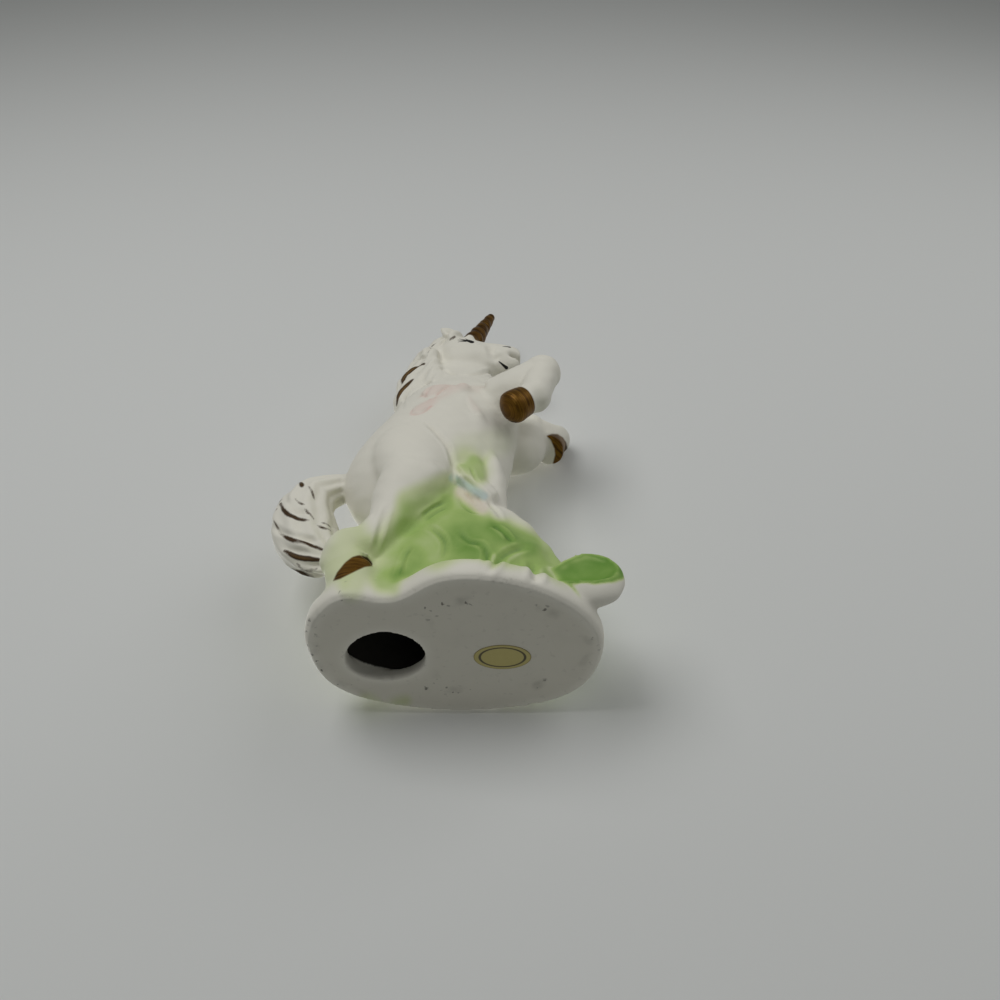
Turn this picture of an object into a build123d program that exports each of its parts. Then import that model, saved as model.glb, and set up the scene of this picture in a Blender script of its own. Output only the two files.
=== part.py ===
"""Rearing unicorn figurine in slip-cast bisque, built from the pieces that are luted together before firing.

Millimetres. +Z up, +X the way the unicorn faces, +Y its left. The origin is the middle of the flat
underside. Every piece meets its neighbour along the neighbour's own surface, as a luted joint does.
"""

import os
from math import cos, radians, sin, sqrt

from build123d import *

# Base: an oval slab with a grass mound, cast hollow
BASE_LENGTH = 74.0
BASE_WIDTH = 53.0
BASE_HEIGHT = 7.0
BASE_EDGE_RADIUS = 1.2
MOUND_HEIGHT = 50.0
MOUND_FOOT_LENGTH = 66.0
MOUND_FOOT_WIDTH = 40.0
WALL = 3.5
VENT_DIAMETER = 18.7
VENT_X = -17.0
VENT_Y = 3.2
VENT_CUT = 1.2
DRAIN_DIAMETER = 9.0

# Paper label on the underside
LABEL_LENGTH = 14.4
LABEL_WIDTH = 9.4
LABEL_THICKNESS = 0.15
LABEL_X = 11.7
LABEL_Y = 3.2

# Torso: a stout barrel that leans forward a little from the upright
SPINE_PITCH = 77.0
SPINE_LENGTH = 64.0
SEAT_X = -14.5
SEAT_DEPTH = 6.0
CROUP_DEPTH = 32.0
CROUP_WIDTH = 24.0
HAUNCH_DEPTH = 46.0
HAUNCH_WIDTH = 35.0
BARREL_DEPTH = 47.0
BARREL_WIDTH = 37.0
CHEST_DEPTH = 42.0
CHEST_WIDTH = 32.0
NECK_ROOT_DEPTH = 31.0
NECK_ROOT_WIDTH = 23.0

# Neck and head
NECK_LENGTH = 36.0
NECK_PITCH = 101.0
NECK_DEPTH = 20.0
NECK_WIDTH = 9.5
HEAD_PITCH = 3.0
HEAD_LENGTH = 30.5
CHEEK_DEPTH = 22.0
CHEEK_WIDTH = 17.0
NOSE_DEPTH = 16.5
NOSE_WIDTH = 13.0
MUZZLE_DEPTH = 14.0
MUZZLE_WIDTH = 10.4
MOUTH_LENGTH = 7.0
MOUTH_GAP = 1.6
EYE_DIAMETER = 4.0
NOSTRIL_DIAMETER = 1.8
EAR_LENGTH = 8.0
EAR_WIDTH = 6.0
EAR_THICKNESS = 4.0
HORN_LENGTH = 29.0
HORN_ROOT_DIAMETER = 8.6
HORN_TIP_DIAMETER = 2.4
HORN_PITCH = 71.5
HORN_RIDGES = 5
HORN_TURN = 190.0
HORN_STEPS = 8

# Legs and hooves
HIND_HOOF_HEIGHT = 9.0
HIND_CORONET = 10.6
HIND_SOLE = 12.8
FORE_HOOF_LENGTH = 7.5
FORE_CORONET = 9.2
FORE_SOLE = 11.2
HOOF_INSET = 12.0
HOOF_SINK = 2.0
HOOF_SIDE_INSET = 6.5
LEFT_HOOF_STEP = 6.0
THIGH_DEPTH = 25.0
THIGH_WIDTH = 17.0
GASKIN_DEPTH = 17.0
GASKIN_WIDTH = 13.0
HOCK_DEPTH = 12.5
HOCK_WIDTH = 11.0
CANNON_DIAMETER = 10.2
FOREARM_DIAMETER = 15.0
LEFT_FOREARM_BULK = 1.25
KNEE_DIAMETER = 12.4
SHIN_DIAMETER = 10.0

# Mane, forelock and tail
MANE_DEPTH = 15.0
MANE_WIDTH = 12.0
MANE_LOCKS = 4
LOCK_LENGTH = 17.0
LOCK_WIDTH = 7.0
TAIL_SWELL_DEPTH = 18.5
TAIL_SWELL_WIDTH = 15.0
TAIL_DROP = 34.0

# Bow, blossoms and leaves
KNOT_FRONT = 2.0
KNOT_SHARE = 0.81
BOW_KNOT_DIAMETER = 5.4
BOW_LOOP_LENGTH = 12.0
BOW_LOOP_WIDTH = 8.6
BOW_TAIL_LENGTH = 20.0
BOW_TAIL_WIDTH = 5.0
RIBBON_THICKNESS = 3.2
BLOSSOM_DIAMETER = 9.0
BLOSSOM_THICKNESS = 3.0
PETALS = 5
LEAF_LENGTH = 22.0
LEAF_WIDTH = 11.0
LEAF_DEPTH = 18.0
TONGUE_WIDTH = 11.0
TONGUE_THICKNESS = 9.0
TUFT_WIDTH = 11.0
TUFT_THICKNESS = 6.0

# The base's outline, in shares of half its length and half its width: an oval with a bay in its right side
BASE_OUTLINE = [
    (-1.0, 0.0),
    (-0.88, -0.55),
    (-0.66, -0.75),
    (-0.44, -0.68),
    (-0.14, -0.92),
    (0.2, -0.98),
    (0.66, -0.74),
    (1.0, -0.1),
    (0.8, 0.68),
    (0.25, 1.0),
    (-0.42, 0.94),
    (-0.84, 0.58),
]

# Rows of the mound: share of its height, shares of its foot's length and width, shift forwards
MOUND_ROWS = [
    (0.0, 1.0, 1.0, 0.0),
    (0.3, 0.9, 0.9, 1.5),
    (0.6, 0.7, 0.8, 2.0),
    (0.8, 0.56, 0.7, 0.5),
    (1.0, 0.4, 0.56, -3.0),
]

# Rows of the barrel: share of the spine, shift to the belly, depth and width
TORSO_ROWS = [
    (-0.06, -1.5, 0.5 * CROUP_DEPTH, 0.5 * CROUP_WIDTH),
    (0.03, -2.5, CROUP_DEPTH, CROUP_WIDTH),
    (0.21, -2.4, HAUNCH_DEPTH, HAUNCH_WIDTH),
    (0.46, -1.0, BARREL_DEPTH, BARREL_WIDTH),
    (0.76, -0.5, CHEST_DEPTH, CHEST_WIDTH),
    (1.0, 0.0, NECK_ROOT_DEPTH, NECK_ROOT_WIDTH),
]

# Rows of a thigh: share of the spine, shift to the belly, shares of the half barrel, the depth and the width
THIGH_ROWS = [
    (0.57, -2.0, 0.4, 0.3, 0.35),
    (0.48, -3.5, 0.54, 0.78, 0.8),
    (0.31, -4.5, 0.62, 1.0, 1.0),
    (0.15, -2.0, 0.7, 0.95, 1.0),
    (0.03, -1.0, 0.78, 0.6, 0.7),
]

# Joints of the lifted forelegs: elbow and knee from the shoulder, then fetlock and coronet in turn
RIGHT_ELBOW = (8.0, -4.0, 0.5)
RIGHT_KNEE = (16.0, -7.5, 4.8)
RIGHT_FETLOCK = (-3.0, -1.0, -15.0)
RIGHT_CORONET = (-2.2, 0.0, -2.0)
LEFT_ELBOW = (8.4, 0.5, -1.6)
LEFT_KNEE = (14.9, 2.5, 12.4)
LEFT_FETLOCK = (9.5, 3.5, -0.5)
LEFT_CORONET = (-1.0, -0.9, -3.2)

# Rows of the tail: distance behind its root, share of its drop, shares of the swell's depth and width
TAIL_ROWS = [
    (0.0, 0.0, 0.44, 0.55),
    (7.0, 0.0, 0.46, 0.6),
    (14.0, 0.13, 0.7, 0.85),
    (16.0, 0.42, 0.95, 1.0),
    (12.5, 0.72, 0.95, 0.9),
    (5.0, 0.93, 0.5, 0.5),
    (-1.0, 1.0, 0.12, 0.14),
]

# Rows of the belly support: place forwards and to the left, share of the mound's height, shares of both sizes
TONGUE_ROWS = [
    (8.0, -3.0, 0.66, 1.0, 1.2),
    (8.5, -5.0, 0.9, 1.0, 1.0),
    (8.5, -7.5, 1.16, 0.9, 0.9),
    (7.2, -9.5, 1.35, 0.4, 0.4),
]

# Rows of the grass tuft, in the same order
TUFT_ROWS = [
    (3.0, -7.0, 0.82, 1.0, 1.0),
    (3.0, -9.5, 0.98, 1.0, 1.0),
    (2.5, -12.0, 1.14, 0.75, 0.8),
    (2.0, -13.0, 1.26, 0.15, 0.25),
]

# Rows of the base leaf: shares of its length along and up, shares of its depth and its width
LEAF_ROWS = [
    (0.0, 0.0, 0.4, 0.5),
    (0.4, 0.16, 0.8, 1.0),
    (0.75, 0.32, 0.95, 0.85),
    (1.0, 0.48, 0.35, 0.3),
]

LEFT = 1
RIGHT = -1


def frame(origin, pitch):
    """A frame in the plane of symmetry: Z runs along the pitch, X towards the front and Y to the left."""
    angle = radians(pitch)
    return Plane(origin, x_dir=(sin(angle), 0, -cos(angle)), z_dir=(cos(angle), 0, sin(angle)))


def lofted(rows):
    """One solid through ellipses: each row is a plane, the size along its X and the size along its Y."""
    with BuildPart() as form:
        for plane, size_x, size_y in rows:
            with BuildSketch(plane):
                Ellipse(size_x / 2, size_y / 2)
        loft()
    return form.part


def limb(stations):
    """A limb through stations of a point, a depth in the plane of symmetry and a width across it."""
    points = [Vector(*station[0]) for station in stations]
    last = len(points) - 1
    rows = []
    for i, (_, depth, width) in enumerate(stations):
        along = points[min(i + 1, last)] - points[max(i - 1, 0)]
        forward = Vector(0, 1, 0).cross(along)
        rows.append((Plane(points[i], x_dir=forward, z_dir=along), depth, width))
    return lofted(rows)


def ball(centre, diameter):
    """A round joint of a limb."""
    with BuildPart() as form:
        with Locations(centre):
            Sphere(diameter / 2)
    return form.part


def between(start, end, share):
    """The point a share of the way from start to end."""
    return start + (end - start) * share


def row_at(rows, share):
    """The values of a table of rows at a share of its length, read straight between two rows."""
    for low, high in zip(rows, rows[1:]):
        if share <= high[0]:
            part = (share - low[0]) / (high[0] - low[0])
            return [a + (b - a) * part for a, b in zip(low[1:], high[1:])]
    return list(rows[-1][1:])


# Frames of the body, each carried by the one before it
torso_frame = frame((SEAT_X, 0, MOUND_HEIGHT - SEAT_DEPTH), SPINE_PITCH)


def on_torso(front, left, share):
    """A point from the seat of the torso: towards the belly, to the left, and a share of the spine."""
    return torso_frame.from_local_coords((front, left, share * SPINE_LENGTH))


def on_flank(front, share, side=RIGHT, sink=0.0):
    """A point on the torso's side; sink takes it under the skin."""
    shift, depth, width = row_at(TORSO_ROWS, share)
    reach = width / 2 * sqrt(max(0.05, 1 - (2 * (front - shift) / depth) ** 2))
    return on_torso(front, side * (reach - sink), share)


neck_foot = on_torso(0, 0, 1)
neck_frame = frame(neck_foot, NECK_PITCH)
poll = neck_frame.from_local_coords((0, 0, NECK_LENGTH))
head_frame = frame(poll + Vector(-0.22 * CHEEK_DEPTH, 0, -0.21 * CHEEK_DEPTH), HEAD_PITCH)


def on_neck(front, left, share):
    """A point on the neck: towards the throat, to the left, and a share of its length."""
    return neck_frame.from_local_coords((front, left, share * NECK_LENGTH))


def on_head(down, left, share):
    """A point on the head: down to the jaw, to the left, and a share of the way to the nose."""
    return head_frame.from_local_coords((down, left, share * HEAD_LENGTH))


def mound_rows(wall):
    """Ellipses of the mound's skin, drawn in by a wall for its cavity."""
    foot = BASE_HEIGHT / 2
    top = MOUND_HEIGHT
    if wall:
        foot = wall
        top = MOUND_HEIGHT - SEAT_DEPTH - 2 * wall
    rows = []
    for rise, length, width, lean in MOUND_ROWS:
        plane = Plane((lean, 0, foot + (top - foot) * rise))
        rows.append((plane, length * MOUND_FOOT_LENGTH - 2 * wall, width * MOUND_FOOT_WIDTH - 2 * wall))
    return rows


def barrel(wall):
    """The torso's skin, drawn in by a wall for its cavity, which runs out into the neck."""
    rows = []
    for share, shift, depth, width in TORSO_ROWS:
        along = wall + share * (SPINE_LENGTH - wall)
        plane = Plane(on_torso(shift, 0, along / SPINE_LENGTH), torso_frame.x_dir, torso_frame.z_dir)
        rows.append((plane, depth - 2 * wall, width - 2 * wall))
    return lofted(rows)


def throat(wall, reach):
    """The neck's skin up to a share of its length; it starts on the end of the torso."""
    bend = (SPINE_PITCH + NECK_PITCH) / 2
    rows = [
        (Plane(neck_foot, torso_frame.x_dir, torso_frame.z_dir), NECK_ROOT_DEPTH, NECK_ROOT_WIDTH),
        (frame(on_neck(1.0, 0, 0.33 * reach), bend), 0.8 * NECK_ROOT_DEPTH, 0.62 * NECK_ROOT_WIDTH),
        (frame(on_neck(0.5, 0, 0.68 * reach), NECK_PITCH), NECK_DEPTH, NECK_WIDTH),
        (frame(on_neck(0, 0, reach), NECK_PITCH), 0.9 * NECK_DEPTH, 0.9 * NECK_WIDTH),
    ]
    return lofted([(plane, depth - 2 * wall, width - 2 * wall) for plane, depth, width in rows])


def skull():
    """The head from the back of the skull over the cheeks and the nose to the lips."""
    rows = [
        (0.0, -0.5, 0.5 * CHEEK_DEPTH, 0.55 * CHEEK_WIDTH),
        (0.09, 0.6, 0.84 * CHEEK_DEPTH, 0.84 * CHEEK_WIDTH),
        (0.28, 1.5, CHEEK_DEPTH, CHEEK_WIDTH),
        (0.58, 0.8, NOSE_DEPTH, NOSE_WIDTH),
        (0.84, 0.6, MUZZLE_DEPTH, MUZZLE_WIDTH),
        (0.96, 1.0, 0.8 * MUZZLE_DEPTH, 0.8 * MUZZLE_WIDTH),
        (1.0, 1.2, 0.4 * MUZZLE_DEPTH, 0.42 * MUZZLE_WIDTH),
    ]
    sections = []
    for share, down, depth, width in rows:
        plane = Plane(on_head(down, 0, share), head_frame.x_dir, head_frame.z_dir)
        sections.append((plane, depth, width))
    return lofted(sections)


def ground():
    """The base and its mound, without the cavity."""
    with BuildPart() as form:
        with BuildSketch():
            with BuildLine():
                Spline([(x * BASE_LENGTH / 2, y * BASE_WIDTH / 2) for x, y in BASE_OUTLINE], periodic=True)
            make_face()
        extrude(amount=BASE_HEIGHT)
        fillet(form.faces().sort_by(Axis.Z)[-1].edges(), 0.45 * BASE_HEIGHT)
        fillet(form.faces().sort_by(Axis.Z)[0].edges(), BASE_EDGE_RADIUS)
        add(lofted(mound_rows(0)))
    return form.part


os.makedirs("parts", exist_ok=True)

# Solid forms that the other pieces are fitted against
ground_form = ground()
torso_form = barrel(0)
neck_form = throat(0, 1.0)
head_form = skull()

# Torso: hollow, open into the neck and drained into the base
with BuildPart() as torso:
    add(torso_form)
    add(barrel(WALL), mode=Mode.SUBTRACT)
    with BuildSketch(Plane((SEAT_X, 0, MOUND_HEIGHT - 4 * SEAT_DEPTH))):
        Circle(DRAIN_DIAMETER / 2)
    extrude(amount=5 * SEAT_DEPTH, mode=Mode.SUBTRACT)
torso.part.label = "torso"
export_step(torso.part, "parts/torso.step")

# Base: its cavity follows the mound, the drain opens into the torso and the vent through the floor
with BuildPart() as base_mound:
    add(ground_form)
    add(torso_form, mode=Mode.SUBTRACT)
    add(lofted(mound_rows(WALL)), mode=Mode.SUBTRACT)
    with BuildSketch(Plane((SEAT_X, 0, MOUND_HEIGHT - 4 * SEAT_DEPTH))):
        Circle(DRAIN_DIAMETER / 2)
    extrude(amount=5 * SEAT_DEPTH, mode=Mode.SUBTRACT)
    with BuildSketch():
        with Locations((VENT_X, VENT_Y)):
            Circle(VENT_DIAMETER / 2)
    extrude(amount=VENT_CUT * WALL, mode=Mode.SUBTRACT)
    with BuildSketch():
        with Locations((LABEL_X, LABEL_Y)):
            Ellipse(LABEL_LENGTH / 2, LABEL_WIDTH / 2)
    extrude(amount=LABEL_THICKNESS, mode=Mode.SUBTRACT)
base_mound.part.label = "base_mound"
export_step(base_mound.part, "parts/base_mound.step")

# Label: it lies flush in a shallow bed in the underside
with BuildPart() as base_label:
    with BuildSketch():
        with Locations((LABEL_X, LABEL_Y)):
            Ellipse(LABEL_LENGTH / 2, LABEL_WIDTH / 2)
    extrude(amount=LABEL_THICKNESS)
base_label.part.label = "base_label"
export_step(base_label.part, "parts/base_label.step")

# Neck: hollow at its root, closed under the head
with BuildPart() as neck:
    add(neck_form)
    add(head_form, mode=Mode.SUBTRACT)
    add(throat(WALL, 0.72), mode=Mode.SUBTRACT)
neck.part.label = "neck"
export_step(neck.part, "parts/neck.step")

# Head: with a parted mouth, nostrils and the swell of the eyes
mouth_corner = on_head(0.22 * MUZZLE_DEPTH, 0, 1 - MOUTH_LENGTH / HEAD_LENGTH)
mouth_front = on_head(0.3 * MUZZLE_DEPTH, 0, 1.1)
with BuildPart() as head:
    add(head_form)
    for side in (LEFT, RIGHT):
        with Locations(on_head(-0.25 * CHEEK_DEPTH, side * 0.34 * CHEEK_WIDTH, 0.38)):
            Sphere(EYE_DIAMETER / 2)
        with Locations(on_head(-0.22 * MUZZLE_DEPTH, side * 0.42 * MUZZLE_WIDTH, 0.88)):
            Sphere(NOSTRIL_DIAMETER / 2, mode=Mode.SUBTRACT)
    corner_row = (mouth_corner, 0.3 * MOUTH_GAP, 2 * MUZZLE_WIDTH)
    front_row = (mouth_front, 2 * MOUTH_GAP, 2 * MUZZLE_WIDTH)
    add(limb([corner_row, front_row]), mode=Mode.SUBTRACT)
head.part.label = "head"
export_step(head.part, "parts/head.step")


def ear_form(side, size, lift):
    """An ear's leaf shape; a smaller and lifted one scoops out its hollow."""
    root = on_head(-0.36 * CHEEK_DEPTH, side * 0.3 * CHEEK_WIDTH, 0.2)
    tip = root + Vector(-0.75, side * 0.25, 0.6) * EAR_LENGTH
    outward = Vector(0.4 * lift, side * lift, 0)
    return limb(
        [
            (root + outward, 0.6 * EAR_WIDTH * size, 0.8 * EAR_THICKNESS * size),
            (between(root, tip, 0.45) + outward, EAR_WIDTH * size, EAR_THICKNESS * size),
            (between(root, tip, 0.8) + outward, 0.6 * EAR_WIDTH * size, 0.6 * EAR_THICKNESS * size),
            (tip + outward, 0.14 * EAR_WIDTH * size, 0.2 * EAR_THICKNESS * size),
        ]
    )


with BuildPart() as right_ear:
    add(ear_form(RIGHT, 1.0, 0))
    add(ear_form(RIGHT, 0.6, 0.45 * EAR_THICKNESS), mode=Mode.SUBTRACT)
    add(head_form, mode=Mode.SUBTRACT)
    add(neck_form, mode=Mode.SUBTRACT)
right_ear.part.label = "right_ear"
export_step(right_ear.part, "parts/right_ear.step")

with BuildPart() as left_ear:
    add(ear_form(LEFT, 1.0, 0))
    add(ear_form(LEFT, 0.6, 0.45 * EAR_THICKNESS), mode=Mode.SUBTRACT)
    add(head_form, mode=Mode.SUBTRACT)
    add(neck_form, mode=Mode.SUBTRACT)
left_ear.part.label = "left_ear"
export_step(left_ear.part, "parts/left_ear.step")

# Horn: a twisted taper with a ridge at each corner of its section
horn_foot = on_head(-0.36 * CHEEK_DEPTH, 0, 0.35)
horn_frame = frame(horn_foot, HORN_PITCH)
with BuildPart() as horn:
    for i in range(HORN_STEPS + 1):
        share = i / HORN_STEPS
        diameter = HORN_ROOT_DIAMETER + (HORN_TIP_DIAMETER - HORN_ROOT_DIAMETER) * share
        with BuildSketch(horn_frame.offset(share * HORN_LENGTH)):
            RegularPolygon(diameter / 2, HORN_RIDGES, rotation=share * HORN_TURN)
    loft()
    add(head_form, mode=Mode.SUBTRACT)
horn.part.label = "horn"
export_step(horn.part, "parts/horn.step")

# Hind legs: thigh on the flank, hock behind, hoof on the base
hoof_x = -BASE_LENGTH / 2 + HOOF_INSET
hoof_side = MOUND_FOOT_WIDTH / 2 - HOOF_SIDE_INSET


def hind_hoof_form(side, step):
    """A hind hoof that stands on the base and flares to its sole."""
    sole = Vector(hoof_x + step, side * hoof_side, BASE_HEIGHT - HOOF_SINK)
    top = sole + Vector(0.5, 0, HIND_HOOF_HEIGHT)
    return limb([(top, HIND_CORONET, HIND_CORONET), (sole, HIND_SOLE, HIND_SOLE)])


def hind_leg_form(side, step):
    """A round thigh against the flank and a bent leg down to the coronet."""
    thigh = []
    for share, front, reach, depth, width in THIGH_ROWS:
        place = on_torso(front, side * reach * BARREL_WIDTH / 2, share)
        plane = Plane(place, torso_frame.x_dir, torso_frame.z_dir)
        thigh.append((plane, depth * THIGH_DEPTH, width * THIGH_WIDTH))
    stifle = on_torso(-0.5, side * 0.38 * BARREL_WIDTH, 0.1)
    coronet = Vector(hoof_x + step + 0.5, side * hoof_side, BASE_HEIGHT - HOOF_SINK + HIND_HOOF_HEIGHT)
    gaskin = between(stifle, coronet, 0.25) + Vector(1.0, side * 1.0, 0)
    hock = between(stifle, coronet, 0.46) + Vector(0.5, 0, 0)
    cannon = between(stifle, coronet, 0.68) + Vector(-0.5, 0, 0)
    fetlock = coronet + Vector(-3.0, 0, 4.5)
    lower_leg = limb(
        [
            (stifle, 0.8 * THIGH_DEPTH, 0.85 * THIGH_WIDTH),
            (gaskin, GASKIN_DEPTH, GASKIN_WIDTH),
            (hock, HOCK_DEPTH, HOCK_WIDTH),
            (cannon, CANNON_DIAMETER, CANNON_DIAMETER),
            (fetlock, 1.15 * CANNON_DIAMETER, 1.06 * CANNON_DIAMETER),
            (coronet, HIND_CORONET, HIND_CORONET),
        ]
    )
    with BuildPart() as form:
        add(lofted(thigh))
        add(lower_leg)
    return form.part


right_hind_hoof_form = hind_hoof_form(RIGHT, 0)
left_hind_hoof_form = hind_hoof_form(LEFT, LEFT_HOOF_STEP)
right_hind_leg_form = hind_leg_form(RIGHT, 0)
left_hind_leg_form = hind_leg_form(LEFT, LEFT_HOOF_STEP)

with BuildPart() as right_hind_hoof:
    add(right_hind_hoof_form)
    add(ground_form, mode=Mode.SUBTRACT)
right_hind_hoof.part.label = "right_hind_hoof"
export_step(right_hind_hoof.part, "parts/right_hind_hoof.step")

with BuildPart() as left_hind_hoof:
    add(left_hind_hoof_form)
    add(ground_form, mode=Mode.SUBTRACT)
left_hind_hoof.part.label = "left_hind_hoof"
export_step(left_hind_hoof.part, "parts/left_hind_hoof.step")

with BuildPart() as right_hind_leg:
    add(right_hind_leg_form)
    add(ground_form, mode=Mode.SUBTRACT)
    add(torso_form, mode=Mode.SUBTRACT)
    add(right_hind_hoof_form, mode=Mode.SUBTRACT)
right_hind_leg.part.label = "right_hind_leg"
export_step(right_hind_leg.part, "parts/right_hind_leg.step")

with BuildPart() as left_hind_leg:
    add(left_hind_leg_form)
    add(ground_form, mode=Mode.SUBTRACT)
    add(torso_form, mode=Mode.SUBTRACT)
    add(left_hind_hoof_form, mode=Mode.SUBTRACT)
left_hind_leg.part.label = "left_hind_leg"
export_step(left_hind_leg.part, "parts/left_hind_leg.step")

# Forelegs: both are lifted; the right one is folded back under the knee, the left one kicks out higher


def foreleg_form(forearm, shoulder, elbow, knee, fetlock, coronet):
    """A forearm, a round knee, a shin and a round fetlock."""
    shoulder_row = (shoulder, 0.9 * forearm, 0.95 * forearm)
    elbow_row = (elbow, forearm, 0.95 * forearm)
    knee_row = (knee, 0.92 * KNEE_DIAMETER, 0.92 * KNEE_DIAMETER)
    fetlock_row = (fetlock, SHIN_DIAMETER, SHIN_DIAMETER)
    coronet_row = (coronet, FORE_CORONET, FORE_CORONET)
    with BuildPart() as form:
        add(limb([shoulder_row, elbow_row, knee_row]))
        add(ball(knee, KNEE_DIAMETER))
        add(limb([knee_row, fetlock_row]))
        add(ball(fetlock, 1.08 * SHIN_DIAMETER))
        add(limb([fetlock_row, coronet_row]))
    return form.part


def fore_hoof_form(fetlock, coronet):
    """A fore hoof that carries on from the fetlock and flares to its sole."""
    sole = coronet + (coronet - fetlock).normalized() * FORE_HOOF_LENGTH
    return limb([(coronet, FORE_CORONET, FORE_CORONET), (sole, FORE_SOLE, FORE_SOLE)])


right_shoulder = on_torso(11.0, -0.28 * CHEST_WIDTH, 0.89)
right_elbow = right_shoulder + Vector(*RIGHT_ELBOW)
right_knee = right_shoulder + Vector(*RIGHT_KNEE)
right_fetlock = right_knee + Vector(*RIGHT_FETLOCK)
right_coronet = right_fetlock + Vector(*RIGHT_CORONET)
left_shoulder = on_torso(9.0, 0.28 * CHEST_WIDTH, 0.86)
left_elbow = left_shoulder + Vector(*LEFT_ELBOW)
left_knee = left_shoulder + Vector(*LEFT_KNEE)
left_fetlock = left_knee + Vector(*LEFT_FETLOCK)
left_coronet = left_fetlock + Vector(*LEFT_CORONET)
left_forearm = LEFT_FOREARM_BULK * FOREARM_DIAMETER
right_joints = (right_shoulder, right_elbow, right_knee, right_fetlock, right_coronet)
left_joints = (left_shoulder, left_elbow, left_knee, left_fetlock, left_coronet)
right_foreleg_form = foreleg_form(FOREARM_DIAMETER, *right_joints)
left_foreleg_form = foreleg_form(left_forearm, *left_joints)

with BuildPart() as right_fore_hoof:
    add(fore_hoof_form(right_fetlock, right_coronet))
    add(right_foreleg_form, mode=Mode.SUBTRACT)
right_fore_hoof.part.label = "right_fore_hoof"
export_step(right_fore_hoof.part, "parts/right_fore_hoof.step")

with BuildPart() as left_fore_hoof:
    add(fore_hoof_form(left_fetlock, left_coronet))
    add(left_foreleg_form, mode=Mode.SUBTRACT)
left_fore_hoof.part.label = "left_fore_hoof"
export_step(left_fore_hoof.part, "parts/left_fore_hoof.step")

with BuildPart() as right_foreleg:
    add(right_foreleg_form)
    add(torso_form, mode=Mode.SUBTRACT)
    add(neck_form, mode=Mode.SUBTRACT)
right_foreleg.part.label = "right_foreleg"
export_step(right_foreleg.part, "parts/right_foreleg.step")

with BuildPart() as left_foreleg:
    add(left_foreleg_form)
    add(torso_form, mode=Mode.SUBTRACT)
    add(neck_form, mode=Mode.SUBTRACT)
left_foreleg.part.label = "left_foreleg"
export_step(left_foreleg.part, "parts/left_foreleg.step")

# Mane: a crest down the back of the neck with pointed locks swept to both sides
crest_back = -0.5 * NECK_DEPTH - 0.3 * MANE_DEPTH


def lock_form(side, share):
    """One pointed lock from the crest down the side of the neck."""
    root = on_neck(crest_back + 4.0, side * 0.2 * MANE_WIDTH, share)
    tip = root + Vector(0.3, side * 0.3, -0.9) * LOCK_LENGTH
    middle = between(root, tip, 0.5) + Vector(0, side * 1.6, 0)
    return limb(
        [
            (root, LOCK_WIDTH, 0.7 * LOCK_WIDTH),
            (middle, 0.9 * LOCK_WIDTH, 0.6 * LOCK_WIDTH),
            (tip, 0.16 * LOCK_WIDTH, 0.2 * LOCK_WIDTH),
        ]
    )


with BuildPart() as mane:
    add(
        limb(
            [
                (on_head(-0.44 * CHEEK_DEPTH, 0, 0.22), 0.35 * MANE_DEPTH, 0.55 * MANE_WIDTH),
                (on_neck(crest_back + 10.5, 0, 1.12), 0.75 * MANE_DEPTH, 0.95 * MANE_WIDTH),
                (on_neck(crest_back + 4.5, 0, 0.75), MANE_DEPTH, MANE_WIDTH),
                (on_neck(crest_back - 1.0, 0, 0.35), MANE_DEPTH, MANE_WIDTH),
                (on_neck(crest_back - 4.0, 0, -0.05), 0.8 * MANE_DEPTH, 0.9 * MANE_WIDTH),
                (on_neck(crest_back - 6.5, 0, -0.32), 0.25 * MANE_DEPTH, 0.3 * MANE_WIDTH),
            ]
        )
    )
    for side in (LEFT, RIGHT):
        for i in range(MANE_LOCKS):
            add(lock_form(side, 0.95 - 0.25 * i))
    add(head_form, mode=Mode.SUBTRACT)
    add(neck_form, mode=Mode.SUBTRACT)
    add(torso_form, mode=Mode.SUBTRACT)
    add(ear_form(RIGHT, 1.0, 0), mode=Mode.SUBTRACT)
    add(ear_form(LEFT, 1.0, 0), mode=Mode.SUBTRACT)
mane.part.label = "mane"
export_step(mane.part, "parts/mane.step")

# Forelock: it parts around the horn and falls over the right side of the brow
lock_root = on_head(-0.46 * CHEEK_DEPTH, -0.1 * CHEEK_WIDTH, 0.25)
lock_middle = on_head(-0.34 * CHEEK_DEPTH, -0.38 * CHEEK_WIDTH, 0.2)
lock_tip = on_head(-0.06 * CHEEK_DEPTH, -0.5 * CHEEK_WIDTH, 0.15)
with BuildPart() as forelock:
    add(limb([(lock_root, 4.0, 4.5), (lock_middle, 5.0, 4.0), (lock_tip, 1.2, 1.2)]))
    add(head.part, mode=Mode.SUBTRACT)
    add(neck_form, mode=Mode.SUBTRACT)
    add(ear_form(RIGHT, 1.0, 0), mode=Mode.SUBTRACT)
    add(mane.part, mode=Mode.SUBTRACT)
    add(horn.part, mode=Mode.SUBTRACT)
forelock.part.label = "forelock"
export_step(forelock.part, "parts/forelock.step")

# Tail: it springs from the croup, swells and tapers to a point beside the hocks
tail_root = on_torso(-0.42 * HAUNCH_DEPTH, 0, 0.215)
tail_rows = []
for behind, drop, depth, width in TAIL_ROWS:
    place = tail_root + Vector(-behind, 0, -drop * TAIL_DROP)
    tail_rows.append((place, depth * TAIL_SWELL_DEPTH, width * TAIL_SWELL_WIDTH))

with BuildPart() as tail:
    add(limb(tail_rows))
    add(torso_form, mode=Mode.SUBTRACT)
    add(right_hind_leg_form, mode=Mode.SUBTRACT)
    add(left_hind_leg_form, mode=Mode.SUBTRACT)
tail.part.label = "tail"
export_step(tail.part, "parts/tail.step")

# Bow: knot, two loops and two tails laid on the right side of the chest
bow_knot_form = ball(on_flank(KNOT_FRONT, KNOT_SHARE), BOW_KNOT_DIAMETER)

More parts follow.
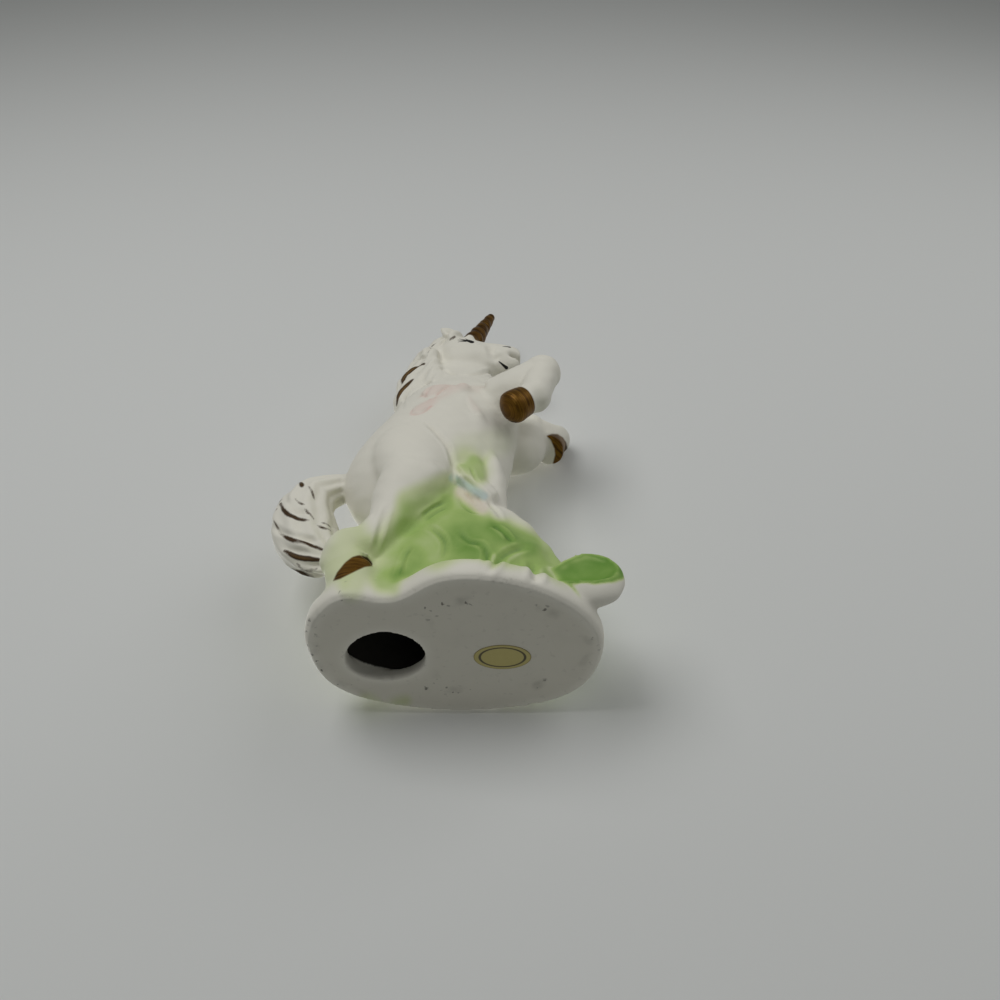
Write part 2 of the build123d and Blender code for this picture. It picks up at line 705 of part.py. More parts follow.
with BuildPart() as bow_knot:
    add(bow_knot_form)
    add(torso_form, mode=Mode.SUBTRACT)
bow_knot.part.label = "bow_knot"
export_step(bow_knot.part, "parts/bow_knot.step")


def bow_loop_form(direction):
    """A loop of the bow: -1 lies towards the back, +1 towards the chest."""
    rows = []
    for share, width in [(0.1, 0.35), (0.45, 0.9), (0.75, 1.0), (1.0, 0.4)]:
        along = share * BOW_LOOP_LENGTH
        front = KNOT_FRONT + direction * along
        rise = KNOT_SHARE + (direction * 0.55 + 0.1) * along / SPINE_LENGTH
        point = on_flank(front, rise, RIGHT, 0.2 * RIBBON_THICKNESS)
        rows.append((point, width * BOW_LOOP_WIDTH, RIBBON_THICKNESS))
    return limb(rows)


def bow_tail_form(direction):
    """A tail of the bow that hangs from the knot."""
    rows = []
    for share, width in [(0.08, 0.5), (0.5, 0.9), (0.9, 1.0), (1.0, 0.4)]:
        along = share * BOW_TAIL_LENGTH
        front = KNOT_FRONT + direction * 0.5 * along
        point = on_flank(front, KNOT_SHARE - along / SPINE_LENGTH, RIGHT, 0.2 * RIBBON_THICKNESS)
        rows.append((point, width * BOW_TAIL_WIDTH, 0.8 * RIBBON_THICKNESS))
    return limb(rows)


with BuildPart() as bow_left_loop:
    add(bow_loop_form(-1))
    add(torso_form, mode=Mode.SUBTRACT)
    add(bow_knot_form, mode=Mode.SUBTRACT)
bow_left_loop.part.label = "bow_left_loop"
export_step(bow_left_loop.part, "parts/bow_left_loop.step")

with BuildPart() as bow_right_loop:
    add(bow_loop_form(1))
    add(torso_form, mode=Mode.SUBTRACT)
    add(bow_knot_form, mode=Mode.SUBTRACT)
    add(right_foreleg_form, mode=Mode.SUBTRACT)
bow_right_loop.part.label = "bow_right_loop"
export_step(bow_right_loop.part, "parts/bow_right_loop.step")

with BuildPart() as bow_left_tail:
    add(bow_tail_form(-1))
    add(torso_form, mode=Mode.SUBTRACT)
    add(bow_knot_form, mode=Mode.SUBTRACT)
    add(bow_loop_form(-1), mode=Mode.SUBTRACT)
    add(right_hind_leg_form, mode=Mode.SUBTRACT)
bow_left_tail.part.label = "bow_left_tail"
export_step(bow_left_tail.part, "parts/bow_left_tail.step")

with BuildPart() as bow_right_tail:
    add(bow_tail_form(1))
    add(torso_form, mode=Mode.SUBTRACT)
    add(bow_knot_form, mode=Mode.SUBTRACT)
    add(bow_loop_form(1), mode=Mode.SUBTRACT)
    add(bow_loop_form(-1), mode=Mode.SUBTRACT)
    add(bow_tail_form(-1), mode=Mode.SUBTRACT)
    add(right_foreleg_form, mode=Mode.SUBTRACT)
    add(right_hind_leg_form, mode=Mode.SUBTRACT)
bow_right_tail.part.label = "bow_right_tail"
export_step(bow_right_tail.part, "parts/bow_right_tail.step")

# Belly support: a tongue-shaped leaf from the mound up to the belly


def mound_leaf(table, thickness, width):
    """A leaf that grows up from the mound through the rows of a table."""
    rows = []
    for forwards, left, rise, thickness_share, width_share in table:
        place = Vector(forwards, left, rise * MOUND_HEIGHT)
        rows.append((place, thickness_share * thickness, width_share * width))
    return limb(rows)


with BuildPart() as belly_support:
    add(mound_leaf(TONGUE_ROWS, TONGUE_THICKNESS, TONGUE_WIDTH))
    add(ground_form, mode=Mode.SUBTRACT)
    add(torso_form, mode=Mode.SUBTRACT)
    add(right_hind_leg_form, mode=Mode.SUBTRACT)
    add(left_hind_leg_form, mode=Mode.SUBTRACT)
belly_support.part.label = "belly_support"
export_step(belly_support.part, "parts/belly_support.step")

# Grass tuft: a pointed leaf on the mound between the support and the thigh
with BuildPart() as grass_tuft:
    add(mound_leaf(TUFT_ROWS, TUFT_WIDTH, TUFT_THICKNESS))
    add(ground_form, mode=Mode.SUBTRACT)
    add(torso_form, mode=Mode.SUBTRACT)
    add(right_hind_leg_form, mode=Mode.SUBTRACT)
    add(belly_support.part, mode=Mode.SUBTRACT)
grass_tuft.part.label = "grass_tuft"
export_step(grass_tuft.part, "parts/grass_tuft.step")


# Blossoms: five petals around a button, pressed onto the tuft
def blossom_form(place):
    """A blossom that faces out from the mound's right side."""
    face = Plane(place, x_dir=(1, 0.3, 0), z_dir=(0.3, -1, 0.1))
    with BuildPart() as form:
        with BuildSketch(face):
            with PolarLocations(0.27 * BLOSSOM_DIAMETER, PETALS):
                Ellipse(0.24 * BLOSSOM_DIAMETER, 0.2 * BLOSSOM_DIAMETER)
            Circle(0.2 * BLOSSOM_DIAMETER)
        extrude(amount=BLOSSOM_THICKNESS)
        with Locations(face.offset(BLOSSOM_THICKNESS)):
            Sphere(0.3 * BLOSSOM_THICKNESS)
    return form.part


with BuildPart() as pink_blossom:
    add(blossom_form(Vector(6.0, -11.6, 0.9 * MOUND_HEIGHT)))
    add(ground_form, mode=Mode.SUBTRACT)
    add(torso_form, mode=Mode.SUBTRACT)
    add(belly_support.part, mode=Mode.SUBTRACT)
    add(grass_tuft.part, mode=Mode.SUBTRACT)
    add(right_hind_leg_form, mode=Mode.SUBTRACT)
pink_blossom.part.label = "pink_blossom"
export_step(pink_blossom.part, "parts/pink_blossom.step")

with BuildPart() as blue_blossom:
    add(blossom_form(Vector(2.0, -12.0, 1.03 * MOUND_HEIGHT)))
    add(ground_form, mode=Mode.SUBTRACT)
    add(torso_form, mode=Mode.SUBTRACT)
    add(belly_support.part, mode=Mode.SUBTRACT)
    add(grass_tuft.part, mode=Mode.SUBTRACT)
    add(pink_blossom.part, mode=Mode.SUBTRACT)
    add(right_hind_leg_form, mode=Mode.SUBTRACT)
blue_blossom.part.label = "blue_blossom"
export_step(blue_blossom.part, "parts/blue_blossom.step")

# Base leaf: a broad leaf that grows from the front of the base and curls up into a spout


def leaf_form(size, right, up):
    """The leaf's outside, or with a smaller size, set to the right and up, the hollow of its blade."""
    root = Vector(0.5 * BASE_LENGTH / 2, -0.47 * BASE_WIDTH / 2 - right, 0.9 * BASE_HEIGHT + up)
    rows = []
    for along, rise, depth, width in LEAF_ROWS:
        place = root + Vector(along, 0.04 * along, rise) * LEAF_LENGTH
        rows.append((place, depth * LEAF_DEPTH * size, width * LEAF_WIDTH * size))
    return limb(rows)


with BuildPart() as base_leaf:
    add(leaf_form(1.0, 0, 0))
    add(leaf_form(0.95, 0.42 * LEAF_WIDTH, 0.22 * LEAF_DEPTH), mode=Mode.SUBTRACT)
    add(ground_form, mode=Mode.SUBTRACT)
base_leaf.part.label = "base_leaf"
export_step(base_leaf.part, "parts/base_leaf.step")
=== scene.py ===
# %% [markdown]
# # A rearing unicorn in painted bisque
# The real figure is cast hollow in a plaster mould, its loose pieces are luted on with wet slip, and the
# whole is fired and painted. So the scene works in the same order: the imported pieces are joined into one
# skin, the skin is modelled and painted, and then it is cut apart again along the luted joints.

# %% Load the frame
from math import cos, pi, radians, sin

import bmesh
import bpy
import numpy as np
from mathutils import Matrix, Vector
from mathutils.bvhtree import BVHTree


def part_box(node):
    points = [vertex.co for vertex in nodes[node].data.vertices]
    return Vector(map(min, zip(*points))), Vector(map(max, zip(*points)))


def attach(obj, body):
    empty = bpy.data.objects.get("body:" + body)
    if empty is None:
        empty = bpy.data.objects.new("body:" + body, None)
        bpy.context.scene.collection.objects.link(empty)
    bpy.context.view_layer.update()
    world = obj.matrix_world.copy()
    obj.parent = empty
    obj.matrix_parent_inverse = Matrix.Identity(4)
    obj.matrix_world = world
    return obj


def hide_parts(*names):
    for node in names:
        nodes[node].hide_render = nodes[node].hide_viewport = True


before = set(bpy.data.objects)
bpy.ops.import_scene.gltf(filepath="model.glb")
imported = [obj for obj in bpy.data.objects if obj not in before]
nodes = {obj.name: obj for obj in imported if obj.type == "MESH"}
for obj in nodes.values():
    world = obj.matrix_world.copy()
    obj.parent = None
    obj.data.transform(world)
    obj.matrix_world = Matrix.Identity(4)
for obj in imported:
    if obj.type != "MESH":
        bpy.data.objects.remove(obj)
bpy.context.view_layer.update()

MM = 0.001
scene = bpy.context.scene
scene.view_settings.view_transform = "Standard"
print("pieces in the frame:", len(nodes))

# %% [markdown]
# The photograph looks at the figure from below: it lies on its left side on a table, with its underside
# towards us. The camera stands where the photographer's did, found from the base, the label and the horn.
# Two helpers go with it: one sends a ray through a pixel, the other finds the pixel of a point.

# %% Camera
PHOTO_PIXELS = 1000
FOCAL_PIXELS = 800
SENSOR = 36.0
EYE = np.array([11.1, -157.0, -126.4]) * MM
AHEAD = np.array([0.0, 0.651, 0.759])
ASIDE = np.array([1.0, 0.0, 0.0])
ABOVE = np.array([0.0, -0.759, 0.651])

camera_data = bpy.data.cameras.new("photo_camera")
camera_data.sensor_width = SENSOR
camera_data.lens = SENSOR * FOCAL_PIXELS / PHOTO_PIXELS
camera_data.clip_start = 5 * MM
camera = bpy.data.objects.new("photo_camera", camera_data)
scene.collection.objects.link(camera)
turn = Matrix((ASIDE, ABOVE, -AHEAD)).transposed().to_4x4()
camera.matrix_world = Matrix.Translation(EYE) @ turn
scene.camera = camera


def ray_through(pixel):
    """The direction of the photograph's ray through a pixel."""
    across, down = pixel
    half = PHOTO_PIXELS / 2
    return Vector(AHEAD + ASIDE * (across - half) / FOCAL_PIXELS + ABOVE * (half - down) / FOCAL_PIXELS)


def pixels_of(points):
    """The photograph's pixels of an array of points."""
    away = points - EYE
    depth = away @ AHEAD
    half = PHOTO_PIXELS / 2
    return np.stack([half + FOCAL_PIXELS * (away @ ASIDE) / depth, half - FOCAL_PIXELS * (away @ ABOVE) / depth], 1)


print("camera height over the table:", round(float(EYE[1]) / MM), "mm")

# %% [markdown]
# The stage is the pale table under the figure's left side. It is seen from its front only: from behind it
# lets light and sight through, so the far side of the figure can be looked at as well. The lamps are large
# and soft, with the brighter one at the upper left, as in the photograph.

# %% Table, world and lamps
TABLE_SIZE = 4.0
TABLE_TOUCH = 27.2 * MM
TABLE_SLOPE = 0.0577
TABLE_GREY = (0.68, 0.69, 0.675, 1.0)

bm = bmesh.new()
bmesh.ops.create_grid(bm, x_segments=1, y_segments=1, size=TABLE_SIZE / 2)
facing = Vector((0.0, -1.0, -TABLE_SLOPE)).normalized()
bmesh.ops.rotate(bm, verts=bm.verts, matrix=facing.to_track_quat("Z", "Y").to_matrix())
bmesh.ops.translate(bm, verts=bm.verts, vec=(0, TABLE_TOUCH, 0))
table_mesh = bpy.data.meshes.new("table")
bm.to_mesh(table_mesh)
bm.free()
table = bpy.data.objects.new("table", table_mesh)
scene.collection.objects.link(table)
table.visible_shadow = False


def new_material(name):
    """A node material with its shader and output, and a helper's list of nodes and links."""
    material = bpy.data.materials.new(name)
    material.use_nodes = True
    return material, material.node_tree.nodes, material.node_tree.links, material.node_tree.nodes["Principled BSDF"]


table_finish, tree, link, shader = new_material("table_paint")
shader.inputs["Base Color"].default_value = TABLE_GREY
shader.inputs["Roughness"].default_value = 0.75
clear = tree.new("ShaderNodeBsdfTransparent")
sides = tree.new("ShaderNodeMixShader")
faces = tree.new("ShaderNodeNewGeometry")
link.new(faces.outputs["Backfacing"], sides.inputs["Fac"])
link.new(shader.outputs["BSDF"], sides.inputs[1])
link.new(clear.outputs["BSDF"], sides.inputs[2])
link.new(sides.outputs["Shader"], tree["Material Output"].inputs["Surface"])
table.data.materials.append(table_finish)

world = bpy.data.worlds.new("studio")
scene.world = world
world.use_nodes = True
world.node_tree.nodes["Background"].inputs["Color"].default_value = (0.62, 0.635, 0.62, 1.0)
world.node_tree.nodes["Background"].inputs["Strength"].default_value = 0.235


def soft_lamp(name, place, aim, size, power):
    """A square lamp that looks at a point, in millimetres and watts."""
    data = bpy.data.lights.new(name, "AREA")
    data.size = size * MM
    data.energy = power
    lamp = bpy.data.objects.new(name, data)
    scene.collection.objects.link(lamp)
    lamp.location = Vector(place) * MM
    lamp.rotation_euler = (Vector(aim) - Vector(place)).to_track_quat("-Z", "Y").to_euler()


soft_lamp("window", (-300, -700, 130), (0, 0, 80), 420, 2.42)
soft_lamp("room", (400, -480, 220), (0, 0, 80), 500, 0.9)
soft_lamp("far_side", (-300, 620, 330), (0, 0, 80), 500, 2.6)

# %% [markdown]
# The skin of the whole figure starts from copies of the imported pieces. A voxel remesh melts them together
# with even quads, as slip closes a luted joint. The drain between base and body is stopped with a ball first,
# so that only the base stays hollow behind its vent. The horn and the paper label are made by themselves.

# %% Join the pieces into one skin
VOXEL = 0.5 * MM
LOOSE_PIECES = ("horn", "base_label")
skin_names = [name for name in sorted(nodes) if name not in LOOSE_PIECES]

joined = bmesh.new()
piece_of_face = []
for index, name in enumerate(skin_names):
    joined.from_mesh(nodes[name].data)
    piece_of_face += [index] * (len(joined.faces) - len(piece_of_face))
source_tree = BVHTree.FromBMesh(joined)
piece_of_face = np.array(piece_of_face)
bmesh.ops.remove_doubles(joined, verts=joined.verts, dist=0.001 * MM)
drain_low, drain_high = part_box("torso")
bmesh.ops.create_uvsphere(
    joined, u_segments=24, v_segments=12, radius=7.5 * MM,
    matrix=Matrix.Translation((-14.5 * MM, 0, drain_low[2] + 1.5 * MM)),
)
joined_mesh = bpy.data.meshes.new("joined")
joined.to_mesh(joined_mesh)
joined.free()
joined_object = bpy.data.objects.new("joined", joined_mesh)
scene.collection.objects.link(joined_object)
remesh = joined_object.modifiers.new("slip", "REMESH")
remesh.mode = "VOXEL"
remesh.voxel_size = VOXEL
depsgraph = bpy.context.evaluated_depsgraph_get()
skin = bpy.data.meshes.new_from_object(joined_object.evaluated_get(depsgraph))
bpy.data.objects.remove(joined_object)
print("skin:", len(skin.vertices), "vertices,", len(skin.polygons), "faces")

# %% [markdown]
# Numpy works on all points at once, which keeps the modelling quick. Each face of the skin belongs to the
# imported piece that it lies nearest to. A few rounds of voting between neighbours straighten the borders.

# %% Find which piece each face belongs to
count = len(skin.vertices)
points = np.empty(count * 3, np.float32)
skin.vertices.foreach_get("co", points)
points = points.reshape(-1, 3).astype(float)
edges = np.empty(len(skin.edges) * 2, np.int32)
skin.edges.foreach_get("vertices", edges)
edges = edges.reshape(-1, 2)
corners = np.empty(len(skin.loops), np.int32)
skin.loops.foreach_get("vertex_index", corners)
corners = corners.reshape(-1, 4)


def neighbour_mean(values):
    """The mean of each point's neighbours, for one value or one vector a point."""
    flat = values.reshape(count, -1)
    total = np.empty_like(flat)
    number = np.bincount(edges.ravel(), minlength=count)
    for column in range(flat.shape[1]):
        total[:, column] = np.bincount(edges[:, 0], flat[edges[:, 1], column], count)
        total[:, column] += np.bincount(edges[:, 1], flat[edges[:, 0], column], count)
    return (total / np.maximum(number, 1)[:, None]).reshape(values.shape)


def smooth(values, rounds, share=0.5):
    """Values moved a share of the way to their neighbours' mean, several times."""
    for _ in range(rounds):
        values = values + (neighbour_mean(values) - values) * share
    return values


nearest = np.array([source_tree.find_nearest(Vector(p))[2] for p in points])
votes = np.zeros((count, len(skin_names)), np.float32)
votes[np.arange(count), piece_of_face[nearest]] = 1
votes = smooth(votes, 10)
face_piece = votes[corners].sum(1).argmax(1)
point_piece = votes.argmax(1)
print("faces by piece:", {n: int((face_piece == i).sum()) for i, n in enumerate(skin_names)})


def belongs(*names):
    """How much each point belongs to the named pieces, from 0 to 1."""
    return votes[:, [skin_names.index(n) for n in names]].sum(1).clip(0, 1)


# %% [markdown]
# Modelling comes next. The joints of the body are smoothed like clay under a wet brush, and the rest of the
# skin a little. Where the hind legs run into the grass mound, far more rounds fill the valley between them.

# %% Smooth the joints
SOFT_PIECES = (
    "torso", "neck", "head", "right_hind_leg", "left_hind_leg", "right_foreleg", "left_foreleg", "belly_support",
)
body_share = belongs(*SOFT_PIECES)
border = (votes.max(1) < 0.98).astype(float) * (body_share > 0.6)
blend = smooth(border, 14).clip(0, 0.25) * 4
points = smooth(points, 3)
for _ in range(16):
    points += (neighbour_mean(points) - points) * (0.6 * blend)[:, None]
leg_share = belongs("right_hind_leg", "left_hind_leg", "right_hind_hoof", "left_hind_hoof")
valley = smooth((leg_share * belongs("base_mound") > 0.004).astype(float), 24).clip(0, 0.35) / 0.35
for _ in range(70):
    points += (neighbour_mean(points) - points) * (0.7 * valley)[:, None]


def point_normals():
    """Outward directions of the skin at its points, from its faces."""
    a, b, c, d = (points[corners[:, k]] for k in range(4))
    face = np.cross(c - a, d - b)
    total = np.zeros_like(points)
    for k in range(4):
        for axis in range(3):
            total[:, axis] += np.bincount(corners[:, k], face[:, axis], count)
    return total / np.maximum(np.linalg.norm(total, axis=1), 1e-12)[:, None]


normals = point_normals()
low = points[:, 2] < 0.45 * MM
points[low & (normals[:, 2] < -0.5), 2] = 0
print("smoothed; lowest point", round(points[:, 2].min() / MM, 3), "mm")

# %% [markdown]
# Thumb and sponge come next. Places are given as pixels of the photograph and found on the skin with the
# camera's rays. A pull moves the skin around a place, as a thumb pushes soft clay; a sponge wipes an edge away.
# Both work on the two sides alike, apart from the right foot, where the clay of the mound runs up to the tail.

# %% Pull and sponge the skin
skin_tree = BVHTree.FromPolygons(points.tolist(), corners.tolist())


def skin_at(pixel):
    """The place on the skin behind a pixel; a ray that just misses takes the place nearest to it."""
    way = ray_through(pixel)
    hit = skin_tree.ray_cast(Vector(EYE), way)[0]
    if hit is None:
        tries = [skin_tree.find_nearest(Vector(EYE) + way * depth) for depth in np.linspace(0.15, 0.35, 60)]
        hit = min(tries, key=lambda found: found[3])[0]
    return hit


def ramp(values, low, high):
    """0 below low, 1 above high, and a soft step between."""
    t = np.clip((values - low) / (high - low), 0, 1)
    return t * t * (3 - 2 * t)


def around(pixel, radius, both):
    """A soft spot of 1 around a place that fades to 0 at a radius in millimetres."""
    place = np.array(skin_at(pixel))
    here = points.copy()
    if both:
        here[:, 1] = np.sign(place[1]) * np.abs(here[:, 1])
    return ramp(1 - np.linalg.norm(here - place, axis=1) / (radius * MM), 0.0, 0.9)


# Pulls: pixel, radius, the way forwards, outwards and up in millimetres, and whether both sides take part
PULLS = [
    ((424, 344), 10, (3.0, 0, -1.4), True),
    ((402, 381), 7, (-1.2, 0, 0.2), True),
    ((399, 398), 7, (-1.2, 0, 0), True),
    ((489, 346.5), 4.5, (0, -0.5, -0.9), True),
    ((510, 352), 5.0, (0.5, 0.5, 0.3), True),
    ((341, 543), 9, (-0.8, 0.6, 2.6), False),
    ((331, 572), 7, (-1.8, 0.5, 0.4), False),
    ((442, 330), 5, (0.8, 0, -1.6), True),
    ((346, 688), 24, (-2.4, 0, 0), False),
    ((552, 700), 24, (2.2, 0, 0), False),
]
# Sponge: pixel, radius, rounds and whether both sides take part
SPONGE = [
    ((512, 353), 3.5, 40, True),
    ((497, 392), 7, 40, False),
    ((495, 380), 4, 40, False),
    ((484, 424), 5, 60, False),
    ((435, 364), 12, 110, True),
    ((424, 501), 12, 90, True),
    ((444, 493), 9, 60, True),
]
PETAL_ROUNDS = 40
BOW_ROUNDS = 10
RIM_ROUNDS = 30
for pixel, radius, way, both in PULLS:
    spot = around(pixel, radius, both)
    move = np.tile(np.array(way) * MM, (count, 1))
    move[:, 1] *= np.sign(points[:, 1])
    points = points + move * spot[:, None]
for pixel, radius, rounds, both in SPONGE:
    spot = around(pixel, radius, both)
    for _ in range(rounds):
        points += (neighbour_mean(points) - points) * (0.7 * spot)[:, None]
BOW_PIECES = ("bow_knot", "bow_left_loop", "bow_right_loop", "bow_left_tail", "bow_right_tail")
from_vent = np.hypot(points[:, 0] / MM + 17.0, points[:, 1] / MM - 3.2)
low_rim = smooth(((points[:, 2] < 4 * MM) & (from_vent > 12)).astype(float) * belongs("base_mound"), 6)
for share, rounds in (
    (belongs("pink_blossom", "blue_blossom"), PETAL_ROUNDS),
    (belongs(*BOW_PIECES), BOW_ROUNDS),
    (low_rim, RIM_ROUNDS),
):
    for _ in range(rounds):
        points += (neighbour_mean(points) - points) * (0.6 * share)[:, None]

# The right fore hoof ends in a dome, not in a flat sole
DOME = 2.2 * MM
hoof_axis = np.array((-0.74, 0.0, -0.67))
in_hoof = point_piece == skin_names.index("right_fore_hoof")
reach = points @ hoof_axis
sole_plane = reach[in_hoof].max()
on_sole = in_hoof & (reach > sole_plane - 0.8 * MM)
off_axis = points - points[on_sole].mean(0)
off_axis -= np.outer(off_axis @ hoof_axis, hoof_axis)
from_axis = np.linalg.norm(off_axis, axis=1)
lift = np.where(on_sole, DOME * (1 - (from_axis / from_axis[on_sole].max()) ** 2), 0)
points = points + lift[:, None] * hoof_axis
edge_share = smooth((in_hoof & (reach > sole_plane - 1.6 * MM)).astype(float), 4)
for _ in range(24):
    points += (neighbour_mean(points) - points) * (0.6 * edge_share)[:, None]
skin_tree = BVHTree.FromPolygons(points.tolist(), corners.tolist())
print("pulled and sponged:", len(PULLS), "pulls,", len(SPONGE), "wipes")

# %% [markdown]
# The painter's and the modeller's lines are read off the photograph. Each line is a few pixels, joined by a
# smooth curve; the camera's rays carry it onto the skin. The far side cannot be seen, so it gets the same
# lines mirrored, each point moved to the nearest place on the skin.

# %% Trace lines from the photograph onto the skin
TRACE_STEP = 0.7


def curve_through(knots):
    """Even steps along a smooth curve through pixels."""
    knots = [np.array(k, float) for k in knots]
    knots = [2 * knots[0] - knots[1]] + knots + [2 * knots[-1] - knots[-2]]
    steps = []
    for a, b, c, d in zip(knots, knots[1:], knots[2:], knots[3:]):
        number = max(2, int(np.linalg.norm(c - b) / TRACE_STEP))
        square = 2 * a - 5 * b + 4 * c - d
        cube = 3 * b - a - 3 * c + d
        for i in range(number):
            t = i / number
            steps.append(0.5 * (2 * b + (c - a) * t + square * t**2 + cube * t**3))
    steps.append(knots[-2])
    return steps


TRACE_ROUNDS = 60


def trace(pixels, rounds=0):
    """The line's points on the skin where the photograph shows it; rounds even it where the rays graze the skin."""
    path = np.array([skin_at(pixel) for pixel in curve_through(pixels)])
    for _ in range(rounds):
        path[1:-1] = (path[:-2] + 2 * path[1:-1] + path[2:]) / 4
    return np.array([skin_tree.find_nearest(Vector(place))[0] for place in path])


def mirrored(path):
    """The same line on the far side."""
    return np.array([skin_tree.find_nearest(Vector((x, -y, z)))[0] for x, y, z in path])


def distance_to(path, reach):
    """Each point's distance from a line and its share of the line's length; points out of reach are left far."""
    far = np.full(count, 1.0)
    share = np.zeros(count)
    near = np.all((points > path.min(0) - reach) & (points < path.max(0) + reach), axis=1)
    index = np.nonzero(near)[0]
    if len(index):
        gap = np.linalg.norm(points[index][:, None] - path[None], axis=2)
        far[index] = gap.min(1)
        share[index] = gap.argmin(1) / max(len(path) - 1, 1)
    return far, share


# Brush strokes: half width in millimetres, then pixels
STROKES = [
    (0.75, (301, 481), (302, 487)),
    (0.45, (309, 486.5), (312, 493), (315.5, 500)),
    (0.35, (272, 497), (272.5, 503), (274, 510)),
    (0.7, (278.5, 498), (282, 508), (290, 515.5), (300, 519), (309, 521)),
    (0.35, (295, 498), (299, 502), (305, 505.5)),
    (0.4, (305, 509), (309, 514), (314, 519.5)),
    (0.45, (316, 523.5), (323, 528), (331, 531)),
    (0.35, (321, 522.5), (327, 525), (333, 527)),
    (0.65, (274.5, 521), (279, 531), (291, 539.5), (309, 544.5), (326, 551)),
    (0.85, (285, 551), (297, 557), (310, 559), (321, 560)),
    (0.5, (297, 563.5), (305, 569.5), (318, 574)),
    (1.1, (401, 385), (405, 376), (413, 369), (424, 364)),
    (1.2, (397, 405), (398.5, 396), (404, 388), (412.5, 379)),
    (0.5, (407, 414), (409, 407), (411, 401)),
    (0.35, (392, 422), (398, 419), (404, 416.5)),
    (0.35, (428, 352.5), (432, 346), (438.5, 341)),
    (0.3, (447.5, 344), (451, 338.5), (457, 335)),
    (0.3, (451, 342), (454, 338), (456, 336)),
]
# Moulded lines: half width and depth in millimetres, then pixels
GROOVES = [
    (0.8, 0.4, (284, 492), (288, 503), (298, 511), (312, 514)),
    (0.8, 0.4, (270, 515), (275, 528), (287, 534), (304, 538), (322, 543)),
    (0.8, 0.4, (280, 545), (292, 550), (306, 552), (324, 556)),
    (0.8, 0.4, (292, 560), (302, 564), (312, 566), (325, 568)),
    (0.7, 0.35, (404, 410), (403, 400), (407, 392), (416, 384)),
    (0.7, 0.35, (397, 395), (400, 385), (408, 377), (420, 371)),
    (0.7, 0.35, (404, 370), (414, 361), (428, 357)),
    (0.7, 0.35, (418, 356), (428, 350), (436, 348)),
    (0.5, 0.25, (421, 517), (431, 509), (447, 501)),
    (0.5, 0.25, (424, 521), (436, 512), (449, 506)),
    (0.8, 0.4, (424, 527), (437, 532), (446, 544), (440, 560)),
    (0.8, 0.4, (455, 528), (468, 540), (482, 546), (488, 558), (480, 571)),
    (1.0, 0.6, (486, 574), (497, 562), (512, 551), (529, 546)),
    (1.0, 0.5, (492, 524), (503, 533), (512, 543)),
    (1.2, 0.7, (535, 561), (534, 571), (537, 583)),
    (0.8, 0.35, (412, 545), (402, 560), (399, 578)),
    (0.8, 0.45, (460, 476), (474, 486), (487, 497), (503, 521)),
    (0.8, 0.45, (421, 418.6), (434, 430), (443, 440), (448, 446), (451, 456), (453, 466), (460, 476)),
    (0.5, 0.3, (456, 468), (463, 477), (470, 484)),
    (0.5, 0.3, (470, 466), (474, 476), (479, 484)),
    (0.6, 0.35, (458, 492), (462, 503), (472, 512), (484, 514)),
    (0.5, 0.3, (464, 492), (472, 500), (482, 506)),
    (1.4, 0.5, (492, 345), (490.5, 352), (494, 358), (499, 361)),
    (0.8, 0.4, (389, 503), (385, 512), (379, 535), (374, 553)),
    (1.0, 0.6, (441, 367), (450, 373), (462, 375.5), (476, 374.5), (490, 372), (502, 373)),
]
BOW_GROOVES = [
    (0.6, 0.35, (424, 398), (429.7, 388), (437.4, 380.5), (449, 377), (461.5, 379.5)),
    (0.6, 0.35, (461.5, 379.5), (451.5, 384), (441, 390.5), (434.8, 398)),
    (0.6, 0.35, (431, 399.5), (422, 395.5), (414.5, 403), (410, 414.5)),
    (0.6, 0.35, (410, 414.5), (421, 413.5), (431, 406)),
    (0.6, 0.2, (469, 387), (480, 387), (486, 386.5), (491, 382.7)),
    (0.6, 0.2, (465.5, 394), (466.7, 404), (472, 412), (482, 413)),
    (0.8, 0.35, (540, 368), (544, 377), (541, 386)),
]
bow_lines = [(half, depth, trace(pixels)) for half, depth, *pixels in BOW_GROOVES]
stroke_lines = []
for half, *pixels in STROKES:
    line = trace(pixels)
    stroke_lines += [(half, line), (half, mirrored(line))]
groove_lines = []
for half, depth, *pixels in GROOVES:
    line = trace(pixels, TRACE_ROUNDS)
    groove_lines += [(half, depth, line), (half, depth, mirrored(line))]
print("lines on the skin:", len(stroke_lines), "painted,", len(groove_lines), "moulded")

# %% [markdown]
# The hair is modelled as ridges that follow its flow: along the curve of the tail, and down the mane. The
# grass mound gets soft folds. The moulded lines are pressed in as grooves with a low lip on either side, the
# way a modelling tool leaves them in wet clay.

# %% Model hair, folds and grooves
TAIL_CURVE = np.array([(-30, 61.7), (-37, 61.7), (-44.2, 57.3), (-46.2, 47.5), (-42.7, 37.3), (-35.2, 30.1), (-29, 27.7)])
TAIL_RIDGES = 9
HAIR_DEPTH = 0.32
FOLD_DEPTH = 0.55
PRESS = 1.4


def along_curve(curve):
    """Each point's distance along a curve in the plane of symmetry, and its distance out from the curve."""
    flat = points[:, [0, 2]] / MM
    best = np.full(count, np.inf)
    along = np.zeros(count)
    out = np.zeros(count)
    start = 0.0
    for a, b in zip(curve, curve[1:]):
        step = b - a
        length = np.linalg.norm(step)
        t = np.clip((flat - a) @ step / length**2, 0, 1)
        gap = flat - (a + t[:, None] * step)
        size = np.linalg.norm(gap, axis=1)
        side = np.sign(step[0] * gap[:, 1] - step[1] * gap[:, 0])
        nearer = size < best
        best[nearer] = size[nearer]
        along[nearer] = (start + t * length)[nearer]
        out[nearer] = (size * side)[nearer]
        start += length
    return along, out


